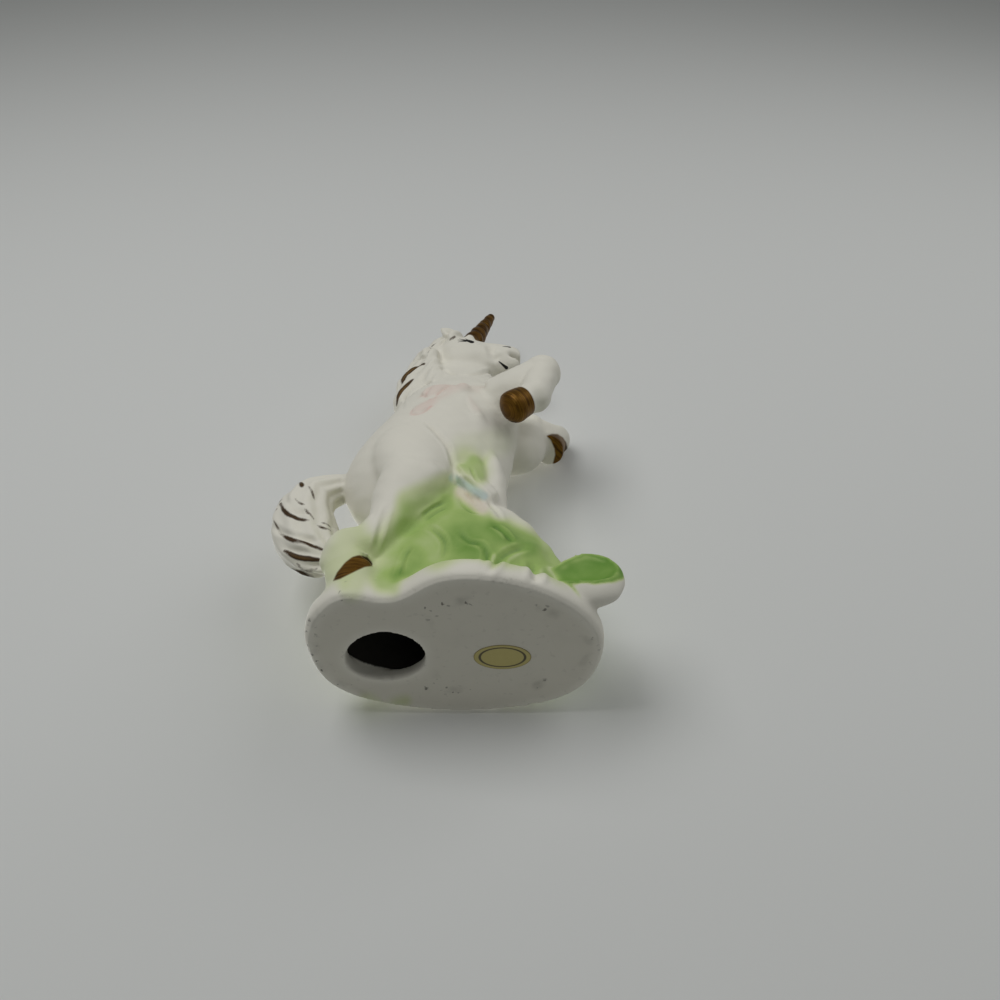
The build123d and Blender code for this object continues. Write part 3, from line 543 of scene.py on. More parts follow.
def ripple(length, seed):
    """A soft uneven field between about -1 and 1 with bumps of a given length in millimetres."""
    pick = np.random.default_rng(seed)
    field = np.zeros(count)
    for _ in range(7):
        way = pick.normal(size=3)
        way /= np.linalg.norm(way)
        field += np.sin(points @ way / MM * 2 * pi / (length * pick.uniform(0.7, 1.5)) + pick.uniform(0, 6.3))
    return field / 3.2


def push(amount):
    """Moves the skin along its normals by millimetres."""
    global points, normals
    points = points + normals * (np.asarray(amount) * MM)[:, None]
    normals = point_normals()


normals = point_normals()
tail_along, tail_out = along_curve(TAIL_CURVE)
tail_angle = np.arctan2(points[:, 1] / MM, tail_out)
tail_wave = np.cos(TAIL_RIDGES * tail_angle + 1.3 * np.sin(tail_along * 0.17) + 0.8)
mane_across = points[:, 0] / MM * 0.86 - points[:, 2] / MM * 0.5
mane_wave = np.cos(mane_across * 1.75 + 0.9 * np.sin(points[:, 2] / MM * 0.33) + 0.35 * np.abs(points[:, 1]) / MM)
in_tail = belongs("tail")
in_mane = belongs("mane", "forelock")
in_ground = belongs("base_mound") * np.clip((points[:, 2] / MM - 8) / 6, 0, 1)
push(HAIR_DEPTH * (in_tail * tail_wave + 0.8 * in_mane * mane_wave))
push(FOLD_DEPTH * in_ground * ripple(9, 3) + 0.08 * ripple(5, 8) * (1 - belongs("base_mound")))


def press(half, depth, line, where=1.0):
    """Presses a groove with a low lip along a line; where holds it to a part of the skin."""
    gap, share = distance_to(line, 6 * MM)
    gap = gap / MM / half
    ends = np.clip(np.minimum(share, 1 - share) * 5, 0, 1)
    lip = 0.35 * np.exp(-((gap - 1.9) ** 2) * 1.6)
    push(PRESS * depth * where * ends * (lip - np.exp(-(gap**2))))


for half, depth, line in groove_lines:
    press(half, depth, line)
near_bow = np.clip(2.5 * smooth(belongs(*BOW_PIECES), 6), 0, 1)
for half, depth, line in bow_lines:
    press(half, depth, line, near_bow)
points = smooth(points, 1, 0.4)
normals = point_normals()
flat_floor = (points[:, 2] < 0.25 * MM) & (normals[:, 2] < -0.7)
points[flat_floor, 2] = 0
normals = point_normals()
print("modelled; box", (points.min(0) / MM).round(1), (points.max(0) / MM).round(1))

# %% [markdown]
# The figure is sprayed and brushed before its last firing. Spray is a set of soft passes in the photograph's
# pixels, so a point's density depends on how near it lies to each pass. The brush strokes are kept as a
# distance in millimetres from the stroke's edge, so that the shader can draw a crisp edge between points.

# %% Mix the paint
near_side = points * np.array([1, -1, 1])
near_side[:, 1] = -np.abs(points[:, 1])
seen_at = pixels_of(near_side)


def spray(passes):
    """How dense soft passes lie on each point: start, end, radius in pixels and strength."""
    bare = np.ones(count)
    for start, end, radius, strength in passes:
        start, end = np.array(start, float), np.array(end, float)
        way = end - start
        t = np.clip((seen_at - start) @ way / max(way @ way, 1), 0, 1)
        gap = np.linalg.norm(seen_at - (start + t[:, None] * way), axis=1)
        bare *= 1 - strength * ramp(1 - gap / radius, 0.0, 0.75)
    return 1 - bare


# The middle of the mound's wall: heights, half lengths, half widths and middles
MOUND_PROFILE = np.array([
    (3.5, 17.5, 31.4, 40.7), (31.2, 28.0, 21.3, 16.7), (18.2, 16.2, 14.2, 12.2), (0.0, 1.5, 2.0, 0.5),
])
GREEN_PASSES = [
    ((406, 548), (480, 545), 44, 0.55),
    ((470, 535), (548, 566), 40, 0.6),
    ((385, 580), (410, 586), 22, 0.5),
    ((412, 518), (462, 500), 28, 0.45),
    ((430, 514), (446, 503), 12, 0.4),
    ((496, 528), (530, 545), 16, 0.55),
    ((400, 575), (470, 566), 14, 0.35),
    ((466, 460), (480, 470), 20, 0.5),
    ((408, 500), (446, 484), 18, 0.3),
    # This weak pass tints the belly grey-green: a painted shadow under the belly.
    ((465, 448), (500, 442), 22, 0.18),
    ((410, 552), (416, 558), 16, 0.3),
    ((328, 578), (352, 532), 26, 0.26),
    ((350, 590), (372, 548), 20, 0.25),
]
RUN_PASSES = [((352, 592), (386, 594), 24, 1.0)]
WHITE_PASSES = [
    ((494, 466), (500, 512), 13, 0.75),
    ((462, 491), (482, 507), 11, 0.75),
]
LEAF_PASSES = [((552, 580), (618, 562), 40, 0.9), ((575, 578), (615, 568), 26, 0.6)]
heights = points[:, 2] / MM
grounded = belongs(
    "base_mound", "grass_tuft", "right_hind_leg", "left_hind_leg", "right_hind_hoof", "left_hind_hoof",
    "belly_support", "pink_blossom", "blue_blossom",
)
haze = smooth(belongs("torso"), 1)
near = (points[:, 1] < 0).astype(float)
rim = ramp(heights + 1.6 * ripple(12, 5) + 6 * spray(RUN_PASSES), 1.5, 10.0)
mound_length = np.interp(heights, *MOUND_PROFILE[:2])
mound_width = np.interp(heights, MOUND_PROFILE[0], MOUND_PROFILE[2])
mound_middle = np.interp(heights, MOUND_PROFILE[0], MOUND_PROFILE[3])
from_middle = (points[:, 0] / MM - mound_middle) / mound_length, points[:, 1] / MM / mound_width
# inside marks the base's hollow interior behind the vent; the shader paints it near black as painted shade.
inside = (from_middle[0] ** 2 + from_middle[1] ** 2 < 1) & (heights > 4.0) & (heights < 40) & (belongs("base_mound") > 0.5)
green = spray(GREEN_PASSES) * rim * (grounded + 0.5 * haze)
green *= 1 - near * spray(WHITE_PASSES)
leaf_inside = ramp(smooth(normals @ np.array([0.1, -0.6, 0.55]), 4), 0.3, 0.5)
green = np.maximum(green, belongs("base_leaf") * spray(LEAF_PASSES) * leaf_inside)
green = np.maximum(green, belongs("grass_tuft") * 0.28)
green[inside] = 0
# Painted shade: the skin is tinted darker in its creases and hollows, and the green and pink spray are made denser
# there.
sink = ((smooth(points, 6) - points) * normals).sum(1) / MM
hollow = ramp(smooth(sink, 2), 0.02, 0.22)
# Painted highlight: the green is thinned on ridges and crests, so they read lighter.
crest_highlight = ramp(smooth(-sink, 2), 0.02, 0.2)
green = np.clip(green * (1 + 0.6 * hollow - 0.45 * crest_highlight), 0, 1)

bow = belongs(*BOW_PIECES)
PINK_PASSES = [
    ((430, 393), (458, 381), 15, 0.55),
    ((414, 410), (428, 403), 13, 0.5),
    ((470, 385), (488, 381), 10, 0.25),
    ((475, 397), (478, 405), 11, 0.25),
    ((461, 492), (482, 508), 10, 0.4),
]
BLUE_PASSES = [((453, 478), (484, 496), 6.5, 0.5)]
sprigs = belongs("pink_blossom", "blue_blossom", "grass_tuft", "belly_support", "base_mound", "right_hind_leg")
under_bow = 0.5 * smooth(bow, 30) * belongs("torso")
# The pink is also made denser where the painted shade lies.
pink = near * spray(PINK_PASSES) * np.clip(bow + under_bow + sprigs, 0, 1) * (0.75 + 0.9 * hollow)
BOW_OUTLINE = 0.95
BOW_LOOP_LINES = 4
for half, _, line in bow_lines[:BOW_LOOP_LINES]:
    gap, _ = distance_to(line, 3 * MM)
    pink = np.maximum(pink, BOW_OUTLINE * near_bow * np.exp(-((gap / MM / half) ** 2)))
blue = near * spray(BLUE_PASSES) * sprigs

stroke = np.full(count, -2.0)
for half, line in stroke_lines:
    gap, share = distance_to(line, 4 * MM)
    width = half * (0.35 + 0.65 * np.sin(pi * np.clip(share, 0.02, 0.98)) ** 0.6)
    stroke = np.maximum(stroke, width - gap / MM)
stroke = np.where(belongs("mane", "forelock", "tail") > 0.45, stroke, -2.0)

# Brown areas on the left fore hoof and the right hind hoof, outlined in pixels
LEFT_HOOF_AREA = [
    (546.5, 436), (551, 434), (557.5, 434), (563, 437.5), (566.5, 443), (567.5, 449), (565, 456), (559, 462.5),
    (552.5, 464.6), (553, 462.5), (555, 455), (554.4, 448.8), (550.6, 440),
]
HIND_HOOF_AREA = [
    (333, 581), (337, 572.5), (345, 562.5), (352, 557), (359, 555), (367, 557), (372, 562), (372.5, 566),
    (365, 567), (357, 570.5), (348, 575), (340, 579),
]
PIXEL = 0.28


def depth_in(area, pixels):
    """How deep pixels lie inside an outline, in millimetres on the figure; outside is below 0."""
    gap = np.full(len(pixels), np.inf)
    within = np.zeros(len(pixels), bool)
    corners_of = np.array(area, float)
    for a, b in zip(corners_of, np.roll(corners_of, -1, axis=0)):
        way = b - a
        t = np.clip((pixels - a) @ way / (way @ way), 0, 1)
        gap = np.minimum(gap, np.linalg.norm(pixels - (a + t[:, None] * way), axis=1))
        crosses = (a[1] > pixels[:, 1]) != (b[1] > pixels[:, 1])
        rise = way[1] if way[1] else 1e-9
        within ^= crosses & (pixels[:, 0] < a[0] + (pixels[:, 1] - a[1]) / rise * way[0])
    return np.where(within, gap, -gap) * PIXEL


left_hoof_depth = depth_in(LEFT_HOOF_AREA, pixels_of(points))
hind_hoof_depth = depth_in(HIND_HOOF_AREA, seen_at)
stroke = np.where(belongs("left_foreleg") > 0.3, np.maximum(stroke, left_hoof_depth), stroke)
stroke = np.where(belongs("right_hind_leg") > 0.3, np.maximum(stroke, hind_hoof_depth), stroke)
rim_edge = smooth(ramp(sink, -0.02, -0.12) * (heights < 9), 4)
DIRT_PASSES = [
    ((309, 622), (312, 660), 8, 0.9),
    ((318, 672), (346, 694), 8, 0.7),
    ((380, 706), (470, 712), 7, 0.7),
    ((520, 712), (545, 708), 7, 0.7),
    ((570, 664), (577, 672), 9, 0.9),
    ((586, 634), (590, 640), 7, 0.8),
    ((420, 604), (470, 601), 7, 0.9),
    ((428, 610), (436, 624), 9, 0.6),
    ((322, 610), (345, 598), 9, 0.7),
    ((540, 608), (556, 614), 7, 0.8),
    ((336, 590), (352, 584), 7, 0.6),
]
dirt = np.clip(0.1 * (heights < 1) + spray(DIRT_PASSES) * (heights < 8) + 0.5 * rim_edge * ramp(ripple(14, 11), -0.3, 0.6), 0, 1)
# Painted shade: the middle of the flat underside is tinted darker than its rim.
underside_shade = smooth(ramp(smooth((heights < 0.05).astype(float), 30), 0.75, 1.0), 12)
hollow = np.maximum(hollow, 0.9 * underside_shade)
print("green on", int((green > 0.3).sum()), "points, strokes on", int((stroke > 0).sum()))

# %% [markdown]
# The hooves are brushed with brown lustre. Two more values help there: how far a point lies along its hoof,
# for the brush marks, and how far it lies outside the brown, for the bare sole and the foot in the clay.

# %% Measure the hooves
HOOF_AXES = {
    "right_hind_hoof": (0.05, 0, -1),
    "left_hind_hoof": (0.05, 0, -1),
    "right_fore_hoof": (-0.74, 0, -0.67),
    "left_fore_hoof": (-0.5, 0.08, -0.86),
}
along_hoof = np.zeros(count)
for name, axis in HOOF_AXES.items():
    axis = np.array(axis) / np.linalg.norm(axis)
    mine = belongs(name) > 0.05
    along_hoof[mine] = (points @ axis / MM)[mine]
CORONET = 0.9
sole = np.full(count, -2.0)
for name in HOOF_AXES:
    mine = belongs(name) > 0.05
    coronet = np.percentile(along_hoof[point_piece == skin_names.index(name)], 4) + CORONET
    sole[mine] = coronet - along_hoof[mine]
for name, depth in (("left_fore_hoof", left_hoof_depth), ("right_hind_hoof", hind_hoof_depth)):
    mine = belongs(name) > 0.05
    sole[mine] = -depth[mine]
print("bare hoof points:", int((sole > 0).sum()))

# %% [markdown]
# Colours are written as on a paint chart and turned into the linear values that the shader wants. The bisque
# is a warm white; the spray and the strokes lie over it, and a fine bump keeps the matt, slightly sandy face
# of unglazed porcelain.

# %% Painted bisque
def paint(red, green_part, blue_part):
    """A colour from the usual 0 to 255 values, in linear light."""
    return tuple((v / 255 / 12.92) if v < 11 else ((v / 255 + 0.055) / 1.055) ** 2.4 for v in (red, green_part, blue_part)) + (1.0,)


WHITE = paint(229, 226, 214)
SHADE_TINT = paint(176, 170, 150)
PINK = paint(222, 178, 170)
BLUE = paint(158, 190, 200)
BROWN_DARK = paint(62, 42, 16)
BROWN_LIGHT = paint(124, 94, 46)
SOOT = paint(70, 66, 56)
INTERIOR_SHADE = paint(38, 36, 30)
BLACK = paint(14, 12, 10)
GREEN_STEPS = [(0.0, WHITE), (0.3, paint(208, 216, 170)), (0.62, paint(166, 192, 112)), (1.0, paint(98, 144, 50))]


class Shader:
    """Small helpers that add nodes to one material."""

    def __init__(self, name):
        self.material, self.tree, self.link, self.out = new_material(name)
        self.place = self.tree.new("ShaderNodeTexCoord").outputs["Object"]

    def value(self, name):
        node = self.tree.new("ShaderNodeAttribute")
        node.attribute_name = name
        return node.outputs["Fac"]

    def noise(self, scale, detail=3.0, vector=None):
        node = self.tree.new("ShaderNodeTexNoise")
        node.inputs["Scale"].default_value = scale
        node.inputs["Detail"].default_value = detail
        self.link.new(vector or self.place, node.inputs["Vector"])
        return node.outputs["Fac"]

    def math(self, kind, a, b):
        node = self.tree.new("ShaderNodeMath")
        node.operation = kind
        for socket, given in zip(node.inputs, (a, b)):
            if isinstance(given, (int, float)):
                socket.default_value = given
            else:
                self.link.new(given, socket)
        return node.outputs["Value"]

    def steps(self, value, stops):
        node = self.tree.new("ShaderNodeValToRGB")
        band = node.color_ramp.elements
        while len(band) < len(stops):
            band.new(1.0)
        for element, (position, colour) in zip(band, stops):
            element.position = position
            element.color = colour if not isinstance(colour, (int, float)) else (colour, colour, colour, 1.0)
        self.link.new(value, node.inputs["Fac"])
        return node.outputs["Color"]

    def over(self, below, colour, cover):
        node = self.tree.new("ShaderNodeMix")
        node.data_type = "RGBA"
        for socket, given in ((node.inputs[6], below), (node.inputs[7], colour)):
            if isinstance(given, tuple):
                socket.default_value = given
            else:
                self.link.new(given, socket)
        self.link.new(cover, node.inputs[0])
        return node.outputs[2]

    def grain(self, height, strength, distance):
        node = self.tree.new("ShaderNodeBump")
        node.inputs["Strength"].default_value = strength
        node.inputs["Distance"].default_value = distance * MM
        self.link.new(height, node.inputs["Height"])
        self.link.new(node.outputs["Normal"], self.out.inputs["Normal"])

    def capsule(self, start, end, half):
        """How far inside a short thick line the surface lies, in millimetres; both sides of the figure alike."""
        fold = self.tree.new("ShaderNodeVectorMath")
        fold.operation = "ABSOLUTE"
        self.link.new(self.place, fold.inputs[0])
        parts = [self.tree.new("ShaderNodeSeparateXYZ") for _ in range(2)]
        self.link.new(self.place, parts[0].inputs[0])
        self.link.new(fold.outputs[0], parts[1].inputs[0])
        folded = self.tree.new("ShaderNodeCombineXYZ")
        self.link.new(parts[0].outputs["X"], folded.inputs["X"])
        self.link.new(parts[1].outputs["Y"], folded.inputs["Y"])
        self.link.new(parts[0].outputs["Z"], folded.inputs["Z"])
        way = end - start
        gap = self.tree.new("ShaderNodeVectorMath")
        gap.operation = "SUBTRACT"
        self.link.new(folded.outputs[0], gap.inputs[0])
        gap.inputs[1].default_value = start
        dot = self.tree.new("ShaderNodeVectorMath")
        dot.operation = "DOT_PRODUCT"
        self.link.new(gap.outputs[0], dot.inputs[0])
        dot.inputs[1].default_value = way / way.length_squared
        share = self.math("MINIMUM", self.math("MAXIMUM", dot.outputs["Value"], 0.0), 1.0)
        on_line = self.tree.new("ShaderNodeVectorMath")
        on_line.operation = "SCALE"
        on_line.inputs[0].default_value = way
        self.link.new(share, on_line.inputs["Scale"])
        off_line = self.tree.new("ShaderNodeVectorMath")
        off_line.operation = "DISTANCE"
        self.link.new(gap.outputs[0], off_line.inputs[0])
        self.link.new(on_line.outputs[0], off_line.inputs[1])
        taper = self.math("MULTIPLY", share, 0.7 * half)
        return self.math("SUBTRACT", self.math("SUBTRACT", half, taper), self.math("MULTIPLY", off_line.outputs["Value"], 1000.0))


def painted_bisque(name, marks=()):
    """White bisque under spray, strokes and dirt, with painted shade in the creases, on the middle of the underside
    and in the hollow base; marks are small dark lines drawn crisp by the shader.
    """
    mix = Shader(name)
    cloud = mix.noise(90, 4)
    density = mix.math("MULTIPLY", mix.value("green"), mix.math("ADD", 0.7, mix.math("MULTIPLY", cloud, 0.6)))
    colour = mix.steps(density, GREEN_STEPS)
    colour = mix.over(colour, PINK, mix.math("MULTIPLY", mix.value("pink"), mix.math("ADD", 0.35, mix.math("MULTIPLY", cloud, 0.6))))
    colour = mix.over(colour, BLUE, mix.value("blue"))
    # Painted shade: a darker tint in the creases and on the middle of the underside.
    colour = mix.over(colour, SHADE_TINT, mix.math("MULTIPLY", mix.value("hollow"), 0.28))
    speck = mix.steps(mix.noise(520, 2), [(0.0, 0.0), (0.62, 0.0), (0.68, 1.0)])
    smear = mix.steps(mix.noise(110, 6), [(0.0, 0.0), (0.48, 0.0), (0.75, 0.45)])
    soiled = mix.math("MULTIPLY", mix.value("dirt"), mix.math("MAXIMUM", mix.math("MULTIPLY", speck, 0.8), smear))
    colour = mix.over(colour, SOOT, soiled)
    # Painted shade: the base's hollow interior behind the vent is painted near black.
    colour = mix.over(colour, INTERIOR_SHADE, mix.value("inside"))
    bristle = mix.noise(900, 3)
    ragged = mix.math("ADD", mix.value("stroke"), mix.math("MULTIPLY", mix.math("SUBTRACT", bristle, 0.5), 0.35))
    brown = mix.steps(mix.math("MULTIPLY", ragged, 0.7), [(0.0, BROWN_DARK), (0.25, BROWN_DARK), (0.9, BROWN_LIGHT)])
    colour = mix.over(colour, brown, mix.steps(mix.math("ADD", mix.math("MULTIPLY", ragged, 2.5), 0.5), [(0.0, 0.0), (1.0, 1.0)]))
    inside = None
    for start, end, half in marks:
        depth = mix.capsule(start, end, half)
        inside = depth if inside is None else mix.math("MAXIMUM", inside, depth)
    if inside is not None:
        edge = mix.math("ADD", mix.math("MULTIPLY", inside, 9.0), 0.5)
        colour = mix.over(colour, BLACK, mix.steps(edge, [(0.0, 0.0), (1.0, 1.0)]))
    mix.link.new(colour, mix.out.inputs["Base Color"])
    mix.out.inputs["Roughness"].default_value = 0.62
    mix.out.inputs["Specular IOR Level"].default_value = 0.3
    mix.grain(mix.math("ADD", mix.noise(2600, 2), mix.math("MULTIPLY", mix.noise(300, 3), 1.5)), 0.35, 0.12)
    return mix.material


def on_face(pixel, forwards=0.0, up=0.0):
    """The place on the near side behind a pixel, moved over the skin by millimetres and folded to the far side."""
    place = skin_tree.find_nearest(skin_at(pixel) + Vector((forwards, 0.0, up)) * MM)[0]
    return Vector((place.x, abs(place.y), place.z))


EYE_PIXEL = (468, 340.9)
# The eye and its lashes: both ends forwards and up from the eye, and half the width, in millimetres
EYE_LINES = [
    ((1.1, -0.1), (-0.9, 0.0), 1.35),
    ((0.2, 0.3), (-0.5, 0.3), 1.3),
    ((-0.8, 0.6), (-3.2, 1.8), 0.5),
    ((-1.0, 0.1), (-3.8, 0.4), 0.5),
    ((-1.0, -0.6), (-3.6, -1.5), 0.5),
    ((0.0, 1.0), (-1.1, 2.8), 0.45),
]
EYE_MARKS = [(on_face(EYE_PIXEL, *first), on_face(EYE_PIXEL, *last), half) for first, last, half in EYE_LINES]
NOSTRIL = ((509.5, 347.0), (503, 346.4), 0.6)
MOUTH = ((506.5, 367.8), (499, 361.6), 0.65)
EYE_MARKS += [(on_face(first), on_face(last), half) for first, last, half in (NOSTRIL, MOUTH)]
bisque = painted_bisque("painted_bisque")
face_paint = painted_bisque("painted_face", EYE_MARKS)
print("marks on the face:", len(EYE_MARKS))

# %% [markdown]
# The brown lustre is brushed around the hooves and the horn, so fine lines run across them, and painted shade
# darkens it in the creases and in the horn's score lines. Its thin metal film gives a soft sheen.

# %% Brown lustre
def lustre(name, coordinate, lines):
    """Brushed brown lustre; the coordinate runs along the piece in millimetres."""
    mix = Shader(name)
    spot = mix.tree.new("ShaderNodeCombineXYZ")
    mix.link.new(mix.value(coordinate), spot.inputs["X"])
    wash = mix.noise(220, 4)
    mix.link.new(mix.math("MULTIPLY", wash, 0.8), spot.inputs["Y"])
    brush = mix.noise(lines, 4, spot.outputs[0])
    tone = mix.math("ADD", mix.math("MULTIPLY", brush, 0.75), mix.math("MULTIPLY", wash, 0.3))
    colour = mix.steps(tone, [(0.3, paint(44, 27, 4)), (0.52, paint(98, 66, 14)), (0.75, paint(160, 120, 46))])
    # Painted shade: the lustre is darkened where the painted shade mask lies, in creases and score lines.
    colour = mix.over(colour, paint(34, 21, 4), mix.math("MULTIPLY", mix.value("hollow"), 0.7))
    bare = mix.steps(mix.math("ADD", mix.math("MULTIPLY", mix.value("sole"), 2.5), 0.5), [(0.0, 0.0), (1.0, 1.0)])
    colour = mix.over(colour, mix.steps(mix.value("green"), GREEN_STEPS), bare)
    mix.link.new(colour, mix.out.inputs["Base Color"])
    mix.link.new(mix.math("MULTIPLY", mix.math("SUBTRACT", 1.0, bare), 0.5), mix.out.inputs["Metallic"])
    mix.out.inputs["Roughness"].default_value = 0.42
    mix.out.inputs["Specular IOR Level"].default_value = 0.2
    mix.grain(brush, 0.4, 0.15)
    return mix.material


hoof_lustre = lustre("hoof_lustre", "along_hoof", 2.2)
horn_lustre = lustre("horn_lustre", "along_horn", 1.4)

# %% [markdown]
# Now the painted skin is cut apart along its luted joints. The faces carry the piece's number as a material
# index, and one separate-by-material splits them. The skin's normals are stored first: given back as custom
# normals, they keep the shading smooth across the cuts.

# %% Cut the skin apart
skin.vertices.foreach_set("co", points.astype(np.float32).ravel())
layers = {
    "green": green, "pink": pink, "blue": blue, "stroke": stroke, "hollow": hollow, "dirt": dirt,
    "along_hoof": along_hoof, "sole": sole, "inside": inside,
}
for name, values in layers.items():
    layer = skin.attributes.new(name, "FLOAT", "POINT")
    layer.data.foreach_set("value", values.astype(np.float32))
normal_layer = skin.attributes.new("skin_normal", "FLOAT_VECTOR", "POINT")
normal_layer.data.foreach_set("vector", normals.astype(np.float32).ravel())
skin.materials.clear()
for name in skin_names:
    skin.materials.append(bpy.data.materials.new("cut_" + name))
skin.polygons.foreach_set("material_index", face_piece.astype(np.int32))
skin.update()
skin_object = bpy.data.objects.new("skin", skin)
scene.collection.objects.link(skin_object)
for other in bpy.context.selected_objects:
    other.select_set(False)
bpy.context.view_layer.objects.active = skin_object
skin_object.select_set(True)
bpy.ops.object.mode_set(mode="EDIT")
bpy.ops.mesh.select_all(action="SELECT")
bpy.ops.mesh.separate(type="MATERIAL")
bpy.ops.object.mode_set(mode="OBJECT")
cut_objects = {}
for piece in list(bpy.context.selected_objects):
    index = piece.data.polygons[0].material_index
    cut_objects[piece.data.materials[index].name.removeprefix("cut_")] = piece
for name in skin_names:
    bpy.data.materials.remove(bpy.data.materials["cut_" + name])
print("cut into", len(cut_objects), "pieces")

# %% [markdown]
# Each piece is closed where it was cut: the open rims are turned in under the skin, filled and cut into short
# triangles, which span the joint inside the figure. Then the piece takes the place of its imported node, with
# that node's finish.

# %% Close the pieces
CAP_DEPTH = 0.9 * MM
SLOTS = {
    "grass_bisque": ("base_mound", "base_leaf", "grass_tuft"),
    "pink_bisque": ("pink_blossom", "bow_knot", "bow_left_loop", "bow_right_loop", "bow_left_tail", "bow_right_tail"),
    "blue_bisque": ("blue_blossom",),
    "gold_lustre": ("right_hind_hoof", "left_hind_hoof", "right_fore_hoof", "left_fore_hoof"),
}


def slot_of(name):
    """The finish that a node has in the record."""
    for slot, names in SLOTS.items():
        if name in names:
            return slot
    return "white_bisque"


def close_piece(name, piece):
    """Caps the cut edges, keeps the skin's own normals on the outside and takes the node's place."""
    mesh = piece.data
    bm = bmesh.new()
    bm.from_mesh(mesh)
    cap_layer = bm.faces.layers.int.new("cap")
    rims = [e for e in bm.edges if e.is_boundary]
    normal_of = bm.verts.layers.float_vector["skin_normal"]
    wall = bmesh.ops.extrude_edge_only(bm, edges=rims)["geom"]
    for vertex in (part for part in wall if isinstance(part, bmesh.types.BMVert)):
        vertex.co -= vertex[normal_of] * CAP_DEPTH
    wall_faces = [part for part in wall if isinstance(part, bmesh.types.BMFace)]
    inner_rims = [part for part in wall if isinstance(part, bmesh.types.BMEdge) and part.is_boundary]
    filled = bmesh.ops.holes_fill(bm, edges=inner_rims, sides=0)["faces"]
    for face in wall_faces + filled:
        face[cap_layer] = 1
    capped = bmesh.ops.triangulate(bm, faces=filled, quad_method="BEAUTY", ngon_method="BEAUTY")
    across = [e for e in capped["edges"] if e.is_valid and all(f[cap_layer] for f in e.link_faces)]
    bmesh.ops.beautify_fill(bm, faces=capped["faces"], edges=across, method="AREA")
    open_edges = sum(not (e.is_manifold and e.is_contiguous) for e in bm.edges)
    for face in bm.faces:
        face.smooth = True
        face.material_index = 0
    bm.to_mesh(mesh)
    bm.free()
    mesh.materials.clear()
    if slot_of(name) == "gold_lustre":
        mesh.materials.append(hoof_lustre)
    else:
        mesh.materials.append(face_paint if name in ("head", "forelock") else bisque)
    piece.name = mesh.name = name + "_skin"
    corner_points = np.empty(len(mesh.loops), np.int32)
    mesh.loops.foreach_get("vertex_index", corner_points)
    skin_normals = np.empty(len(mesh.vertices) * 3, np.float32)
    mesh.attributes["skin_normal"].data.foreach_get("vector", skin_normals)
    loop_normals = skin_normals.reshape(-1, 3)[corner_points]
    caps = np.empty(len(mesh.polygons), np.int32)
    mesh.attributes["cap"].data.foreach_get("value", caps)
    totals = np.empty(len(mesh.polygons), np.int32)
    mesh.polygons.foreach_get("loop_total", totals)
    face_normals = np.empty(len(mesh.polygons) * 3, np.float32)
    mesh.polygons.foreach_get("normal", face_normals)
    on_cap = np.repeat(caps, totals).astype(bool)
    loop_normals[on_cap] = np.repeat(face_normals.reshape(-1, 3), totals, axis=0)[on_cap]
    mesh.normals_split_custom_set(loop_normals.tolist())
    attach(piece, "root")
    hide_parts(name)
    return open_edges


for name, piece in sorted(cut_objects.items()):
    left_open = close_piece(name, piece)
    if left_open:
        print(name, "edges left open:", left_open)

# %% [markdown]
# The horn is rolled by hand and scored with a spiral before it dries. A cone with many rings is twisted in
# code: its radius rises and falls along a screw line, with a flatter valley than ridge.

# %% Horn
HORN_FOOT = Vector((-1.6, 0.0, 145.0)) * MM
HORN_PITCH = 71.5
HORN_LENGTH = 28.2 * MM
HORN_ROOT = 4.7 * MM
HORN_TIP = 1.7 * MM
HORN_RINGS = 90
HORN_AROUND = 64
SCREW = 4.2 * MM
SCORE = 0.1

bm = bmesh.new()
bmesh.ops.create_cone(
    bm, cap_ends=True, segments=HORN_AROUND, radius1=HORN_ROOT, radius2=HORN_TIP, depth=HORN_LENGTH,
    matrix=Matrix.Translation((0, 0, HORN_LENGTH / 2)),
)
walls = [e for e in bm.edges if abs(e.verts[0].co.z - e.verts[1].co.z) > HORN_LENGTH / 2]
bmesh.ops.subdivide_edges(bm, edges=walls, cuts=HORN_RINGS, use_grid_fill=True)
tip_face = max(bm.faces, key=lambda f: f.calc_center_median().z)
for shrink, lift in ((0.8, 0.25), (0.55, 0.2), (0.3, 0.1)):
    tip_face = bmesh.ops.extrude_discrete_faces(bm, faces=[tip_face])["faces"][0]
    centre = tip_face.calc_center_median()
    bmesh.ops.scale(bm, vec=(shrink, shrink, 1), verts=tip_face.verts, space=Matrix.Translation(-centre))
    bmesh.ops.translate(bm, verts=tip_face.verts, vec=(0, 0, lift * HORN_TIP))
bmesh.ops.remove_doubles(bm, verts=bm.verts, dist=0.001 * MM)
along_layer = bm.verts.layers.float.new("along_horn")
painted_shade_layer = bm.verts.layers.float.new("hollow")
sole_layer = bm.verts.layers.float.new("sole")
for vertex in bm.verts:
    angle = np.arctan2(vertex.co.y, vertex.co.x)
    turns = vertex.co.z / SCREW + angle / (2 * pi)
    dip = abs(sin(pi * turns)) ** 0.6
    vertex[along_layer] = vertex.co.z / MM
    # Painted shade: the valleys of the score line are marked for a darker lustre.
    vertex[painted_shade_layer] = 1 - dip
    vertex[sole_layer] = -2.0
    swell = 1 - SCORE + SCORE * dip + 0.03 * sin(3 * angle + vertex.co.z / MM)
    vertex.co.x *= swell
    vertex.co.y *= swell
lean = Vector((cos(radians(HORN_PITCH)), 0, sin(radians(HORN_PITCH))))
bmesh.ops.transform(
    bm, matrix=Matrix.Translation(HORN_FOOT) @ lean.to_track_quat("Z", "Y").to_matrix().to_4x4(), verts=bm.verts,
)
bmesh.ops.recalc_face_normals(bm, faces=bm.faces)
for face in bm.faces:
    face.smooth = True
horn_mesh = bpy.data.meshes.new("horn_scored")
bm.to_mesh(horn_mesh)
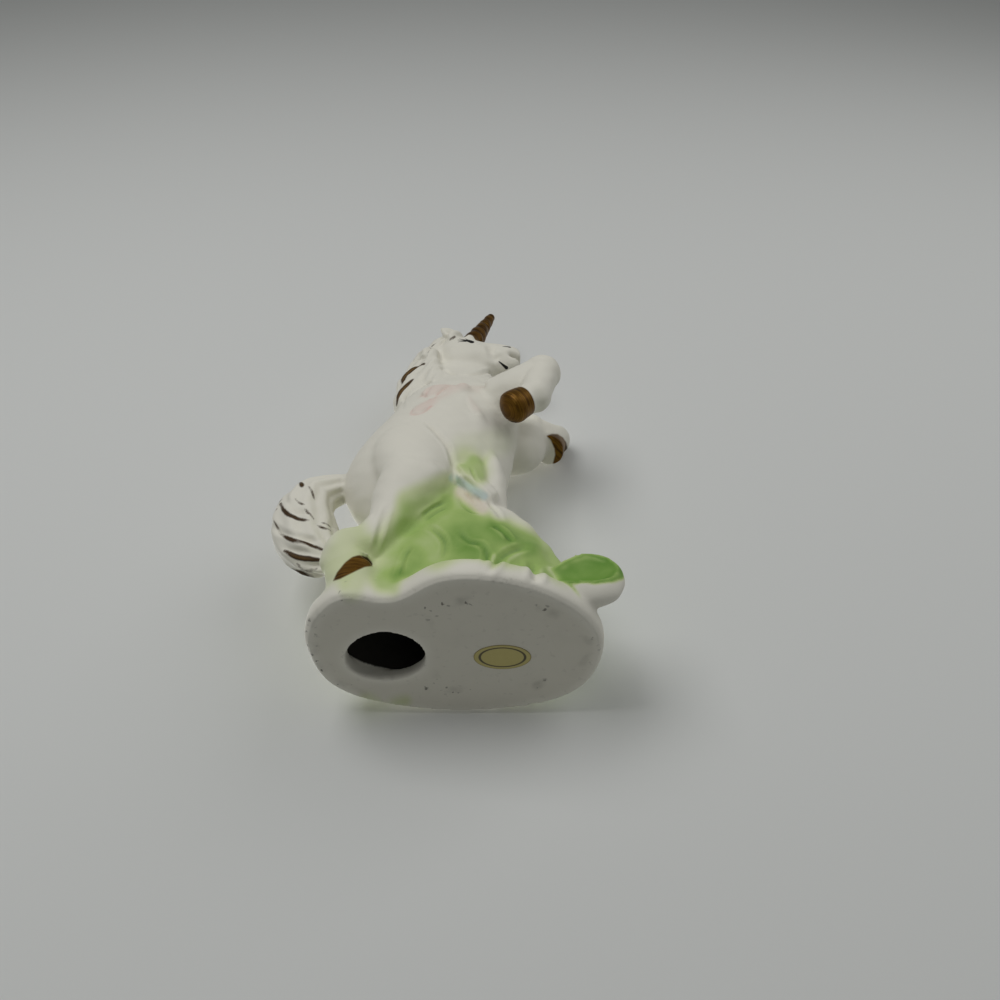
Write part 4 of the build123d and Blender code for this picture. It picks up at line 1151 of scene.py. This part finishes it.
bm.free()
horn_mesh.materials.append(horn_lustre)
horn = bpy.data.objects.new("horn_scored", horn_mesh)
scene.collection.objects.link(horn)
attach(horn, "root")
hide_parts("horn")
print("horn:", len(horn_mesh.polygons), "faces")

# %% [markdown]
# The paper label is an oval of gold foil with a dark ring, stuck to the underside. Its edge lifts a little on the
# real figure; here it is a thin flat disc. It stays plain inside the ring.

# %% Paper label
LABEL_CENTRE = Vector((11.7, 3.2, 0.0)) * MM
LABEL_HALF = (7.2 * MM, 4.7 * MM)
LABEL_THICK = 0.16 * MM

bm = bmesh.new()
bmesh.ops.create_circle(bm, cap_ends=True, segments=96, radius=1.0)
rounds = list(bm.faces)
for _ in range(5):
    rounds = bmesh.ops.inset_region(bm, faces=rounds, thickness=0.16)["faces"] and rounds
bmesh.ops.scale(bm, vec=(LABEL_HALF[0], LABEL_HALF[1], 1), verts=bm.verts)
solid = bmesh.ops.extrude_face_region(bm, geom=list(bm.faces))
lifted = [v for v in solid["geom"] if isinstance(v, bmesh.types.BMVert)]
bmesh.ops.translate(bm, verts=lifted, vec=(0, 0, -LABEL_THICK))
bmesh.ops.translate(bm, verts=bm.verts, vec=LABEL_CENTRE + Vector((0, 0, 0.04 * MM)))
bmesh.ops.recalc_face_normals(bm, faces=bm.faces)
label_mesh = bpy.data.meshes.new("foil_label")
bm.to_mesh(label_mesh)
bm.free()

foil = Shader("gold_foil")
shift = foil.tree.new("ShaderNodeMapping")
shift.vector_type = "TEXTURE"
shift.inputs["Location"].default_value = LABEL_CENTRE
shift.inputs["Scale"].default_value = (LABEL_HALF[0], LABEL_HALF[1], 10.0)
foil.link.new(foil.place, shift.inputs["Vector"])
reach = foil.tree.new("ShaderNodeVectorMath")
reach.operation = "LENGTH"
foil.link.new(shift.outputs[0], reach.inputs[0])
FOIL = paint(196, 184, 112)
INK = paint(40, 32, 18)
bands = foil.steps(
    reach.outputs["Value"],
    [(0.0, FOIL), (0.735, FOIL), (0.755, INK), (0.825, INK), (0.845, FOIL), (0.955, FOIL), (1.0, paint(132, 116, 58))],
)
worn = foil.math("MULTIPLY", foil.noise(420, 5), 0.35)
foil.link.new(foil.over(bands, paint(160, 146, 80), worn), foil.out.inputs["Base Color"])
foil.out.inputs["Roughness"].default_value = 0.45
foil.grain(foil.noise(300, 2), 0.2, 0.05)
label_mesh.materials.append(foil.material)
label = bpy.data.objects.new("foil_label", label_mesh)
scene.collection.objects.link(label)
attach(label, "root")
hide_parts("base_label")
